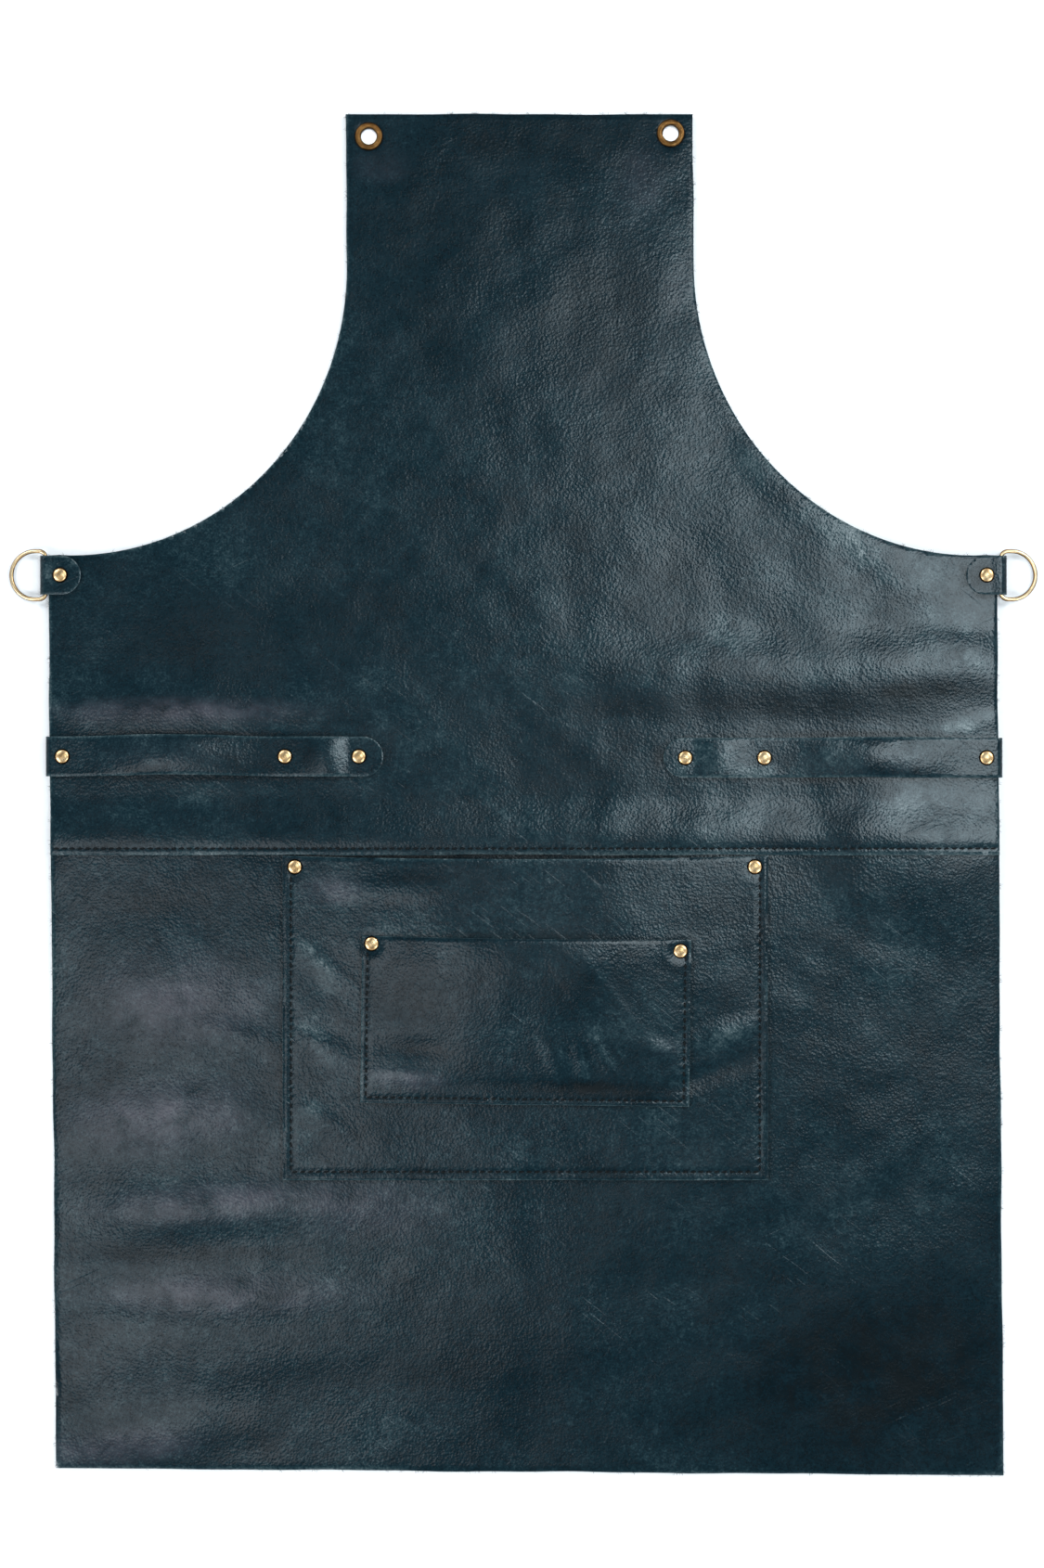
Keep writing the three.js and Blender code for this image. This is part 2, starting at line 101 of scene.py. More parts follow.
# Folded tabs, and the wire rings whose straight bar lies in the fold
SIDES = [("left", -1), ("right", 1)]
TAB_Y = 139.0
TAB_WIDTH = 24.5
TAB_INNER_END = 280.0
TAB_RIVET = 292.9
BAR_X = 302.3
WIRE = 2.6
BAR_PLAY = 0.42
RING_HALF_HEIGHT = 15.2
RING_DEPTH = 22.1
RING_CORNER = 4.0
RING_BUTT_GAP = 0.2

# Heights of the hide where a rivet or a folded flap lies below it
LOW_SEAT = 1.3
HIGH_SEAT = LOW_SEAT + PLY
FOLD_MIDDLE_Z = HIGH_SEAT + LEATHER / 2
LARGE_POCKET_RIVETS = [(-144.6, -45.5), (146.4, -45.5)]
SMALL_POCKET_RIVETS = [(-95.9, -94.0), (99.2, -98.6)]
EYELETS = [(-97.9, 416.8), (93.2, 418.8)]
EYELET_HOLE = 6.0

# Sewing: pitch of the stitches, thread, and the dip that it pulls in the hide
STITCH = 4.95
THREAD = 1.25
SEAM_STITCH_INSET = 4.1
STITCH_DIP = 0.5
STITCH_DIP_WIDTH = 1.6

# Soft hills and folds: middle, height, half length, half width, turn in degrees
Fold = namedtuple("Fold", "x y height length width turn")
HILLS = [
    Fold(-15, 330, 0.8, 95, 75, 60),
    Fold(195, 205, 0.8, 95, 60, -40),
    Fold(-175, 120, 0.4, 90, 60, 20),
    Fold(0, 95, 0.8, 78, 70, 0),
    Fold(-235, -120, 1.0, 70, 55, 0),
    Fold(-225, -262, 1.1, 85, 42, 6),
    Fold(-180, -350, 1.0, 100, 40, 0),
    Fold(30, -335, 1.0, 110, 60, -8),
    Fold(245, -36, 2.0, 125, 75, 0),
    Fold(230, -310, 1.0, 85, 55, 25),
]
PANEL_FOLDS = [
    Fold(190, 77, 2.0, 245, 36, 0),
    Fold(262, 84, 0.8, 64, 26, 0),
    Fold(275, 96, 0.5, 48, 16, -14),
    Fold(287, 44, 0.6, 42, 10, 14),
    Fold(-214, 57, 1.3, 120, 25, 0),
    Fold(165, 196, 0.35, 55, 20, -45),
    Fold(236, 145, 0.4, 60, 20, -38),
    Fold(85, 330, 0.3, 46, 32, 60),
    Fold(256, -6, 0.25, 70, 17, 2),
    Fold(-190, -262, 1.2, 135, 24, 3),
    Fold(-195, -318, 1.1, 130, 22, 0),
    Fold(-240, -405, 1.1, 95, 23, 4),
    Fold(-222, -206, 0.9, 90, 28, 5),
    Fold(-182, -152, 0.5, 46, 11, -15),
    Fold(205, -250, 0.4, 70, 16, 40),
    Fold(120, -372, 0.5, 90, 20, 8),
    Fold(225, -105, 0.4, 60, 16, -20),
]
LARGE_POCKET_FOLDS = [
    Fold(-128, -108, 0.4, 36, 13, -35),
    Fold(-126, -160, 0.4, 36, 12, -22),
    Fold(-127, -207, 0.4, 30, 11, -30),
    Fold(-75, -60, 0.5, 60, 13, 2),
    Fold(129, -150, 0.7, 34, 12, 18),
    Fold(120, -176, -0.7, 46, 11, 22),
]
SMALL_POCKET_FOLDS = [
    Fold(50, -166, 0.5, 28, 7, -57),
    Fold(36, -170, 0.4, 20, 6, -80),
    Fold(18, -166, 0.4, 24, 9, -62),
    Fold(58, -128, 0.25, 46, 4, -52),
    Fold(32, -128, 0.25, 48, 4, -58),
    Fold(-70, -160, -0.7, 36, 11, -4),
    Fold(-72, -178, 0.5, 34, 9, -6),
    Fold(86, -160, 0.5, 16, 8, -20),
    Fold(10, -185, -0.5, 98, 9, -1),
]

# Where the hide is rubbed lighter or left darker, and where its wax has bloomed to a warm grey haze. The same
# patches also paint sheen and shade: lighter where the lamps' sheen lies, darker in fold valleys, in shadows
# beside straps, tabs and pockets, and where the light falls away
Patch = namedtuple("Patch", "x y length width turn rub bloom", defaults=[0.0])
UPPER_PATCHES = [
    # Lighter patches over the right shoulder and down to the seam: rubbed wax, and painted sheen
    Patch(200, 165, 60, 26, -45, 0.6),
    Patch(232, 146, 50, 26, -30, 0.6),
    Patch(150, 206, 42, 20, -48, 0.5),
    Patch(122, 98, 44, 22, 0, 0.8),
    Patch(262, 112, 36, 18, -20, 0.6),
    Patch(278, 86, 32, 11, -12, 0.6),
    Patch(284, 46, 30, 8, 12, 1.1),
    Patch(250, -8, 70, 18, 2, 0.7, 0.1),
    Patch(98, 322, 34, 16, 75, 0.0, 0.1),
    Patch(74, 388, 24, 34, 0, 0.1, 0.3),
    Patch(-90, 398, 28, 16, 0, 0.15, 0.2),
    # A warm grey band above the left strap: wax bloom, and painted sheen on its fold
    Patch(-214, 53, 110, 12, 0, 0.2, 0.9),
    Patch(0, 75, 100, 70, 0, 0.2),
    Patch(-17, -8, 34, 3, -38, 0.8),
    # Painted shade: a dark band under the right shoulder's folds, and darker hide where the light falls away
    # over the left shoulder and the bib
    Patch(170, 58, 210, 18, 0, -0.8),
    Patch(-205, 110, 150, 52, -4, -0.35),
    Patch(0, 415, 130, 36, 0, -0.75),
    Patch(-50, 340, 70, 90, 0, -0.5),
    Patch(40, 300, 75, 85, 0, -0.5),
    Patch(60, 55, 60, 12, 4, -0.3),
    # Painted shade in the fold valley at the right edge
    Patch(256, 67, 62, 13, 3, -1.3),
    # Painted shadows along the straps' edges and inner ends
    Patch(-196, 38.5, 106, 4, 0, -1.0),
    Patch(-196, 10.0, 106, 4, 0, -1.0),
    Patch(-85.5, 24.3, 5, 14, 0, -0.8),
    Patch(195, 37.6, 106, 4, 0, -1.2),
    Patch(195, 9.4, 106, 4, 0, -1.3),
    Patch(85.5, 23.5, 5, 14, 0, -1.3),
    # Painted shadow round the right tab's end and along its lower edge
    Patch(278.5, 139, 5, 13, 0, -1.2),
    Patch(291, 125.2, 14, 4, 0, -1.3),
]
LOWER_PATCHES = [
    # Painted shadow in the gap under the large pocket's mouth
    Patch(-40, -39, 150, 4, 0, -1.6),
    # A warm grey haze over the lower left: wax bloom, and painted sheen
    Patch(-215, -130, 80, 42, 0, 0.15, 0.7),
    Patch(-230, -205, 80, 34, 5, 0.2, 0.85),
    Patch(-190, -258, 120, 17, 3, 0.2, 0.8),
    Patch(-190, -316, 120, 18, 0, 0.2, 0.75),
    Patch(-255, -412, 72, 17, 4, 0.2, 0.8),
    Patch(-95, -262, 70, 30, 0, 0.1, 0.4),
    # Painted shade in the valley between two folds
    Patch(-214, -290, 125, 9, 0, -0.9),
    Patch(-240, -66, 75, 18, 4, -0.5),
    Patch(-155, -161, 26, 7, -10, -0.4),
    Patch(-80, -366, 140, 22, 0, -0.5),
    # Darker hide towards the lower right: painted shade where the light falls away
    Patch(230, -370, 150, 95, 0, -1.4),
    Patch(0, -350, 190, 50, 0, -0.3),
    Patch(120, -300, 120, 26, 0, -0.4),
    Patch(215, -80, 60, 20, -25, 0.3),
    Patch(256, -258, 30, 12, 10, 0.4),
]
LARGE_POCKET_PATCHES = [
    # Light streaks along the pocket's folds: painted highlights on their ridges, with some rubbing
    Patch(-134, -98, 30, 6, -40, 0.5),
    Patch(-124, -110, 36, 8, -36, 0.5),
    Patch(-116, -128, 28, 4, -38, 0.5),
    Patch(-132, -150, 26, 5, -24, 0.6),
    Patch(-124, -166, 34, 8, -26, 0.5, 0.1),
    Patch(-132, -196, 26, 5, -32, 0.6),
    Patch(-122, -208, 30, 6, -30, 0.6),
    Patch(-134, -125, 16, 60, 0, 0.25),
    Patch(-120, -60, 30, 14, 0, 0.2, 0.5),
    Patch(132, -150, 36, 9, 16, 0.5),
    Patch(124, -160, 30, 4, 22, 0.3),
    # Painted shade in a crease
    Patch(122, -180, 42, 9, 24, -0.8),
    Patch(-70, -52, 44, 8, 2, -0.9),
    Patch(0, -225, 150, 18, 0, 0.2),
    Patch(110, -65, 60, 20, -20, -0.2),
]
SMALL_POCKET_PATCHES = [
    # Light streaks along the folds: painted highlights on their ridges
    Patch(52, -164, 32, 4, -57, 0.6),
    Patch(60, -160, 26, 3, -54, 0.4),
    Patch(38, -170, 20, 4, -82, 0.6),
    Patch(14, -166, 26, 5, -60, 0.45),
    Patch(24, -162, 22, 3, -64, 0.35),
    Patch(58, -126, 50, 2, -52, 0.45),
    Patch(32, -126, 50, 2, -58, 0.4),
    Patch(70, -120, 42, 2, -50, 0.4),
    Patch(8, -122, 40, 2, -56, 0.25),
    Patch(-74, -180, 36, 10, -6, 0.6, 0.7),
    # Painted shade: over the pocket's left half, in a fold valley and along the bottom inside the seam
    Patch(-62, -130, 55, 38, 0, -0.55),
    Patch(-66, -160, 50, 11, -4, -0.7),
    Patch(40, -186, 80, 8, -2, -1.3),
    Patch(90, -160, 14, 9, 0, 0.8, 0.2),
]
STRAP_PATCHES = [
    # Painted highlight on the short loop's slope that faces the light, painted shade on the slope facing away
    Patch(-117, 22, 8, 16, 0, 1.3),
    Patch(-136, 24, 10, 16, 0, -0.7),
    Patch(-160, 24, 10, 14, 0, 0.1),
    Patch(-94, 24, 8, 14, 0, 0.3),
    Patch(97, 18, 12, 9, 0, 0.6),
    Patch(110, 32, 12, 7, 0, 0.4),
    Patch(150, 15, 34, 7, 0, 0.9),
    Patch(195, 24, 30, 16, 0, 0.6),
    Patch(245, 22, 30, 12, 0, 0.2, 0.1),
    Patch(120, 24, 24, 12, 0, 0.4),
    Patch(-225, 24, 75, 18, 0, 0.4, 0.1),
    # Painted shade over the tabs, darker on the right
    Patch(-290, 139, 14, 14, 0, -0.4),
    Patch(290, 139, 14, 14, 0, -1.4),
    # Painted highlights: a light band at each tab's fold and one near the left tab's upper edge
    Patch(-300, 139, 5, 13, 0, 0.5),
    Patch(300, 139, 5, 13, 0, 0.5),
    Patch(-284, 146, 7, 4, 35, 0.5),
]


# Heights


def smoothstep(value, low, high):
    share = np.clip((value - low) / (high - low), 0.0, 1.0)
    return share * share * (3.0 - 2.0 * share)


def own_axes(row, x, y):
    """Places along and across a turned fold, patch or pocket, from its middle."""
    angle = math.radians(row.turn)
    right, up = x - row.x, y - row.y
    along = right * math.cos(angle) + up * math.sin(angle)
    across = up * math.cos(angle) - right * math.sin(angle)
    return along, across


def soft_sum(rows, x, y, column):
    """Sum of round-topped patches that fall to nothing at their half length and half width."""
    total = np.zeros_like(x)
    for row in rows:
        along, across = own_axes(row, x, y)
        reach = np.minimum(1.0, np.hypot(along / row.length, across / row.width))
        total += getattr(row, column) * np.cos(reach * math.pi / 2) ** 2
    return total


def centre_x(y):
    return CENTRE_X - LEAN * y


def side_edge(outward, y):
    """Distance of the apron's side edge from x = 0."""
    return APRON_WIDTH / 2 + outward * centre_x(y)


# Seats lift the hide over what lies below it: their height, how far they are flat and how far they reach
Seat = namedtuple("Seat", "x y height flat reach")
CAP_SEAT = (LOW_SEAT, 14.0, 150.0)
FLAP_SEAT = (HIGH_SEAT, 22.0, 200.0)
SEATS = [Seat(x, y, *CAP_SEAT) for x, y in EYELETS + LARGE_POCKET_RIVETS]
SEATS += [Seat(s.outward * d, s.y, *CAP_SEAT) for s in STRAPS for d in s.rivets[:-1]]
SEATS += [Seat(s.outward * s.rivets[-1], s.y, *FLAP_SEAT) for s in STRAPS]
SEATS += [Seat(outward * TAB_RIVET, TAB_Y, *FLAP_SEAT) for _, outward in SIDES]
FIXED_PLACES = [(seat.x, seat.y) for seat in SEATS] + SMALL_POCKET_RIVETS
FOLD_CLEAR = (9.0, 32.0)
HILL_CLEAR = (14.0, 75.0)
SEAT_UNION = 8


def drape(x, y):
    """Underside of the lowest hide, lifted over rivets and folded flaps, with hills and finer folds."""
    seats = np.zeros_like(x)
    slack = np.ones_like(x)
    for seat in SEATS:
        away = np.hypot(x - seat.x, y - seat.y)
        seats += (seat.height * (1.0 - smoothstep(away, seat.flat, seat.reach))) ** SEAT_UNION
        slack *= smoothstep(away, *HILL_CLEAR)
    hills = soft_sum(HILLS, x, y, "height") * slack
    folds = soft_sum(PANEL_FOLDS, x, y, "height") * free_of_rivets(x, y)
    return seats ** (1.0 / SEAT_UNION) + hills + folds


def free_of_rivets(x, y):
    """One where the hide may fold, none under the rivets and eyelets."""
    free = np.ones_like(x)
    for px, py in FIXED_PLACES:
        free *= smoothstep(np.hypot(x - px, y - py), *FOLD_CLEAR)
    return free


def upper_top(x, y):
    lap = PLY * (1.0 - smoothstep(y, SEAM_EDGE_Y + SEAM_LAP, SEAM_EDGE_Y + SEAM_LAP + SEAM_RISE))
    return drape(x, y) + lap + LEATHER - rivet_dents(x, y)


def lower_top(x, y):
    return drape(x, y) + LEATHER


def stand_off(pocket, x, y):
    """How far a pocket front stands off its ground: none at the seams, full inside and at the mouth."""
    along, up = own_axes(pocket, x, y)
    from_side = pocket.width / 2 - np.abs(along)
    from_bottom = pocket.height / 2 + up
    swell = smoothstep(from_side, pocket.border, pocket.side_rise)
    return pocket.bulge * swell * smoothstep(from_bottom, pocket.border, pocket.bottom_rise)


def large_top(x, y):
    folds = soft_sum(LARGE_POCKET_FOLDS, x, y, "height") * free_of_rivets(x, y)
    return lower_top(x, y) + PLY + stand_off(LARGE_POCKET, x, y) + folds - rivet_dents(x, y)


def small_top(x, y):
    folds = soft_sum(SMALL_POCKET_FOLDS, x, y, "height") * free_of_rivets(x, y)
    return large_top(x, y) + PLY + stand_off(SMALL_POCKET, x, y) + folds - rivet_dents(x, y)


CAP_RADIUS = 4.5
DENT = 0.2
DENT_RIM = 3.0
PUCKER = 0.12
PUCKER_AWAY = 5.5
PUCKER_WIDTH = 2.2


def rivet_dents(x, y):
    """Hide pressed down under each cap, with a low pucker raised round it."""
    dent = np.zeros_like(x)
    for px, py in FIXED_PLACES:
        away = np.hypot(x - px, y - py)
        dent += DENT * (1.0 - smoothstep(away, CAP_RADIUS, CAP_RADIUS + DENT_RIM))
        dent -= PUCKER * np.exp(-(((away - CAP_RADIUS - PUCKER_AWAY) / PUCKER_WIDTH) ** 2))
    return dent


# Sewing lines

DIP_MEAN = 0.62
DIP_WAVE = 0.38
DIP_ENDS = (-1.0, 0.5)


def stitch_places(start, end):
    """Needle holes along a line, spaced evenly and as near the pitch as the line allows."""
    start, end = np.array(start), np.array(end)
    count = max(1, round(float(np.hypot(*(end - start))) / STITCH))
    return start + (end - start) * (np.arange(count + 1) / count)[:, None]


def stitch_dip(lines, x, y):
    """Depth of the furrow along sewing lines, deepest at the needle holes."""
    depth = np.zeros_like(x)
    for line in lines:
        start, end = line[0], line[-1]
        run = (end - start) / np.hypot(*(end - start))
        along = (x - start[0]) * run[0] + (y - start[1]) * run[1]
        across = (y - start[1]) * run[0] - (x - start[0]) * run[1]
        step = np.hypot(*(line[1] - line[0]))
        length = step * (len(line) - 1)
        inside = smoothstep(along, *DIP_ENDS) * smoothstep(length - along, *DIP_ENDS)
        wave = DIP_MEAN + DIP_WAVE * np.cos(2 * math.pi * along / step)
        depth = np.maximum(depth, STITCH_DIP * wave * inside * np.exp(-((across / STITCH_DIP_WIDTH) ** 2)))
    return depth


def pocket_lines(pocket):
    """Sewing lines of a pocket in its own axes: down the left, along the bottom, up the right."""
    side = pocket.width / 2 - pocket.stitch_inset
    bottom = pocket.stitch_inset - pocket.height / 2
    top = pocket.height / 2 - pocket.stitch_top
    corners = [(-side, top), (-side, bottom), (side, bottom), (side, top)]
    return [stitch_places(a, b) for a, b in zip(corners, corners[1:])]


# Flat cut pieces

# How a knife strays along a straight run: share, wave length and how the wave shifts from run to run
KNIFE_WAVES = ((1.0, 23.0, 1.7), (0.6, 8.3, 0.9))
SLICE_MERGE = 0.02
SEWING_BORDER = 1.1


def hand_cut(corners, wander=CUT_WANDER):
    """Cut outline through its corners, its straight runs split up and led slightly off line."""
    points = []
    for i, (a, b) in enumerate(zip(corners, corners[1:] + corners[:1])):
        a, b = np.array(a, float), np.array(b, float)
        length = float(np.hypot(*(b - a)))
        steps = max(1, round(length / CUT_STEP))
        normal = np.array([a[1] - b[1], b[0] - a[0]]) / max(length, 1e-6)
        for k in range(steps):
            travel = length * k / steps
            off = sum(share * math.sin(travel / wave + shift * i) for share, wave, shift in KNIFE_WAVES)
            fade = math.sin(math.pi * k / steps)
            points.append(tuple(a + (b - a) * k / steps + normal * off * wander * fade))
    return points


def arc(middle, radii, start, end, steps):
    """Points of an elliptic arc in degrees, both ends included."""
    angles = [math.radians(start + (end - start) * k / steps) for k in range(steps + 1)]
    return [(middle[0] + radii[0] * math.cos(a), middle[1] + radii[1] * math.sin(a)) for a in angles]


def grid_lines(low, high, step, special=()):
    """Slicing places: given ones, and whole steps between them that keep clear of the given ones."""
    regular = np.arange(math.ceil(low / step), math.floor(high / step) + 1) * step
    special = np.unique(np.round([s for s in special if low < s < high], 4))
    kept = [r for r in regular if not len(special) or np.min(np.abs(special - r)) > 0.35 * step]
    return sorted([*kept, *special])


def with_border(places):
    """A sewing line's place with a slice on each side of it."""
    return [p + side * SEWING_BORDER for p in places for side in (-1, 0, 1)]


def halves(line, axis):
    """Needle holes and the middles between them along one axis."""
    holes = line[:, axis]
    return [*holes, *((holes[1:] + holes[:-1]) / 2)]


def flat_cut(outline, columns, rows):
    """A flat piece with a narrow border inside its cut edge, sliced along rows and then columns."""
    bm = bmesh.new()
    face = bm.faces.new([bm.verts.new((x, y, 0.0)) for x, y in outline])
    area = face.calc_area()
    bmesh.ops.inset_region(bm, faces=[face], thickness=CUT_BORDER, use_even_offset=True)
    for axis, places in ((1, rows), (0, columns)):
        live = list(bm.faces)
        for place in places:
            point, normal = [0.0, 0.0, 0.0], [0.0, 0.0, 0.0]
            point[axis], normal[axis] = place, 1.0
            edges = {edge for f in live for edge in f.edges}
            verts = {vert for f in live for vert in f.verts}
            cut = bmesh.ops.bisect_plane(
                bm, geom=[*live, *edges, *verts], dist=SLICE_MERGE, plane_co=point, plane_no=normal
            )
            faces = [g for g in cut["geom"] if isinstance(g, bmesh.types.BMFace)]
            live = [f for f in faces if f.calc_center_median()[axis] > place]
    edge_layer = bm.verts.layers.float.new("cut_edge")
    for vert in bm.verts:
        vert[edge_layer] = 1.0 if vert.is_boundary else 0.0
    return bm, area * MM * MM


def round_hole(bm, place, radius):
    """Opens a round hole: the slices inside it go, and its ragged edge is drawn in to the circle."""
    middle = Vector((*place, 0.0))
    inside = [v for v in bm.verts if (v.co - middle).length < radius]
    bmesh.ops.delete(bm, geom=inside, context="VERTS")
    for vert in bm.verts:
        away = vert.co - middle
        if vert.is_boundary and away.length < 2 * radius:
            vert.co = middle + away.normalized() * radius


def read_points(mesh):
    points = np.empty(len(mesh.vertices) * 3)
    mesh.vertices.foreach_get("co", points)
    return points.reshape(-1, 3)


def write_points(mesh, points):
    mesh.vertices.foreach_set("co", np.asarray(points, np.float32).ravel())
    mesh.update()


def paint(mesh, name, values):
    """Stores one number, or one place, for each point of a mesh."""
    values = np.asarray(values, np.float32)
    kind, field = ("FLOAT", "value") if values.ndim == 1 else ("FLOAT_VECTOR", "vector")
    mesh.attributes.new(name, kind, "POINT").data.foreach_set(field, values.ravel())


def add_piece(name, mesh, materials, stands_for=(), body="apron"):
    """Puts a finished mesh in the scene as a piece of the object."""
    for material in materials:
        mesh.materials.append(material)
    mesh.shade_smooth()
    piece = bpy.data.objects.new(name, mesh)
    bpy.context.scene.collection.objects.link(piece)
    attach(piece, body)
    if stands_for:
        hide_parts(*stands_for)
    return piece


def hide_piece(name, bm, shape, patches, shift, node, offset=-1.0):
    """Bends a flat cut piece to its place, paints its wear with the painted sheen and shade that ride with
    it, and gives it the hide's thickness.
    shape takes flat places to places in the model; shift moves the piece about on the uncut hide."""
    mesh = bpy.data.meshes.new(name)
    bm.to_mesh(mesh)
    bm.free()
    flat = read_points(mesh)
    cut_edge = np.empty(len(flat))
    mesh.attributes["cut_edge"].data.foreach_get("value", cut_edge)
    x, y, z, bend = shape(flat[:, 0], flat[:, 1])
    write_points(mesh, np.stack([x, y, z - CUT_ROUNDING * cut_edge * (offset < 0)], -1) * MM)
    paint(mesh, "hide", np.stack([flat[:, 0] + shift[0], flat[:, 1] + shift[1], 0 * x + shift[0]], -1) * MM)
    paint(mesh, "rub", soft_sum(patches, x, y, "rub") + bend)
    paint(mesh, "bloom", soft_sum(patches, x, y, "bloom"))
    piece = add_piece(name, mesh, [grain, flesh, raw_edge], [node])
    wall = piece.modifiers.new("hide_thickness", "SOLIDIFY")
    wall.thickness = LEATHER * MM
    wall.offset = offset
    wall.material_offset = 1
    wall.material_offset_rim = 2
    soften = piece.modifiers.new("cut_edge", "BEVEL")
    soften.width = EDGE_BEVEL * MM
    soften.segments = 2
    soften.limit_method = "ANGLE"
    soften.angle_limit = math.radians(50)
    return piece


# Materials

MULTIPLY = {"operation": "MULTIPLY"}
MULTIPLY_ADD = {"operation": "MULTIPLY_ADD"}


def linear(hex_colour):
    """Linear colour of an sRGB hex value."""
    parts = [int(hex_colour[i : i + 2], 16) / 255 for i in (1, 3, 5)]
    return (*[p / 12.92 if p <= 0.04045 else ((p + 0.055) / 1.055) ** 2.4 for p in parts], 1.0)


def per_mm(size):
    """Texture scale that gives features of this size, on coordinates in metres."""
    return 1.0 / (size * MM)


def add_node(tree, kind, settings=None, **inputs):
    """Adds a shader node. Inputs named by socket, with _ for a space or iN for the Nth, are linked or set."""
    made = tree.nodes.new("ShaderNode" + kind)
    for name, value in (settings or {}).items():
        setattr(made, name, value)
    for name, value in inputs.items():
        key = int(name[1:]) if name[1:].isdigit() else name.replace("_", " ")
        if isinstance(value, bpy.types.NodeSocket):
            tree.links.new(value, made.inputs[key])
        else:
            made.inputs[key].default_value = value
    return made


def set_stops(ramp, stops):
    """Places and colours of a colour ramp."""
    elements = ramp.color_ramp.elements
    for element, (place, colour) in zip(elements, stops):
        element.position, element.color = place, colour
    for place, colour in stops[len(elements) :]:
        elements.new(place).color = colour


def new_material(name):
    """An empty material, with its node tree and output."""
    material = bpy.data.materials.new(name)
    material.use_nodes = True
    tree = material.node_tree
    tree.nodes.clear()
    return material, tree, add_node(tree, "OutputMaterial")


def pull_up_leather():
    """Waxed pull-up leather, drum dyed dark teal and hot stuffed with oil and wax. The eye sees cloudy tones,
    lighter where the wax has moved and where sheen is painted, darker where shade is painted, a tight pebbled
    grain, fine scratches and a soft satin sheen."""
    material, tree, output = new_material("pull_up_leather_grain")
    hide = add_node(tree, "Attribute", {"attribute_name": "hide"}).outputs["Vector"]
    rub = add_node(tree, "Attribute", {"attribute_name": "rub"}).outputs["Fac"]
    bloom = add_node(tree, "Attribute", {"attribute_name": "bloom"}).outputs["Fac"]
    edge = add_node(tree, "Attribute", {"attribute_name": "cut_edge"}).outputs["Fac"]

    # Cloudy dye in three sizes, and pores
    clouds = add_node(tree, "TexNoise", Vector=hide, Scale=per_mm(85), Detail=5.0, Roughness=0.6)
    blotches = add_node(
        tree, "TexNoise", Vector=hide, Scale=per_mm(22), Detail=5.0, Roughness=0.62, Distortion=0.4
    )
    flecks = add_node(tree, "TexNoise", Vector=hide, Scale=per_mm(4.5), Detail=5.0, Roughness=0.75)
    pores = add_node(tree, "TexNoise", Vector=hide, Scale=per_mm(1.3), Detail=2.0, Roughness=0.6)

    # Scratches: noise drawn out along two directions, with only its crests kept
    scratches = []
    for turn, length, width in ((-38, 46, 1.6), (24, 60, 1.4)):
        stretched = add_node(
            tree,
            "Mapping",
            {"vector_type": "TEXTURE"},
            Vector=hide,
            Rotation=(0.0, 0.0, math.radians(turn)),
            Scale=(length * MM, width * MM, 1.0),
        )
        lines = add_node(tree, "TexNoise", Vector=stretched.outputs[0], Scale=1.0, Detail=2.0)
        crest = add_node(tree, "MapRange", Value=lines.outputs["Fac"], From_Min=0.66, From_Max=0.78)
        scratches.append(crest.outputs[0])
    scratch = add_node(tree, "Math", {"operation": "MAXIMUM"}, i0=scratches[0], i1=scratches[1]).outputs[0]
    here = add_node(tree, "MapRange", Value=clouds.outputs["Fac"], From_Min=0.45, From_Max=0.65).outputs[0]
    scratch = add_node(tree, "Math", MULTIPLY, i0=scratch, i1=here).outputs[0]

    # Creases: the walls of large warped cells, kept only here and there
    warped = add_node(
        tree, "VectorMath", MULTIPLY_ADD, i0=blotches.outputs["Color"], i1=(0.03, 0.03, 0.03), i2=hide
    ).outputs[0]
    cells = add_node(
        tree, "TexVoronoi", {"feature": "DISTANCE_TO_EDGE"}, Vector=warped, Scale=per_mm(38)
    ).outputs["Distance"]
    wall = add_node(
        tree, "MapRange", Value=cells, From_Min=0.0, From_Max=0.025, To_Min=1.0, To_Max=0.0
    ).outputs[0]
    kept = add_node(tree, "MapRange", Value=blotches.outputs["Fac"], From_Min=0.5, From_Max=0.62).outputs[0]
    crease = add_node(tree, "Math", MULTIPLY, i0=wall, i1=kept).outputs[0]

    # One tone from all of them: the rubbed places, with their painted sheen and shade, break up with the
    # blotches
    tone = add_node(tree, "Math", MULTIPLY_ADD, i0=clouds.outputs["Fac"], i1=0.55, i2=-0.805).outputs[0]
    broken = add_node(
        tree,
        "MapRange",
        Value=blotches.outputs["Fac"],
        From_Min=0.33,
        From_Max=0.67,
        To_Min=0.1,
        To_Max=1.5,
    ).outputs[0]
    worn_and_lit = add_node(tree, "Math", MULTIPLY, i0=rub, i1=broken).outputs[0]
    for part, weight in (
        (blotches.outputs["Fac"], 0.5),
        (flecks.outputs["Fac"], 0.7),
        (pores.outputs["Fac"], 0.65),
        (worn_and_lit, 0.3),
        (scratch, 0.12),
        (crease, -0.14),
        # The grain is lighter along its cut edge: partly a burnished edge, partly a painted highlight where
        # the edge catches the light
        (edge, 0.3),
    ):
        tone = add_node(tree, "Math", MULTIPLY_ADD, i0=part, i1=weight, i2=tone).outputs[0]
    dye = add_node(tree, "ValToRGB", Fac=tone)
    set_stops(
        dye,
        [
            (0.0, linear("#030c10")),
            (0.2, linear("#06141a")),
            (0.42, linear("#0d1f26")),
            (0.56, linear("#1b2d33")),
            (0.74, linear("#364549")),
            (1.0, linear("#6a7476")),
        ],
    )
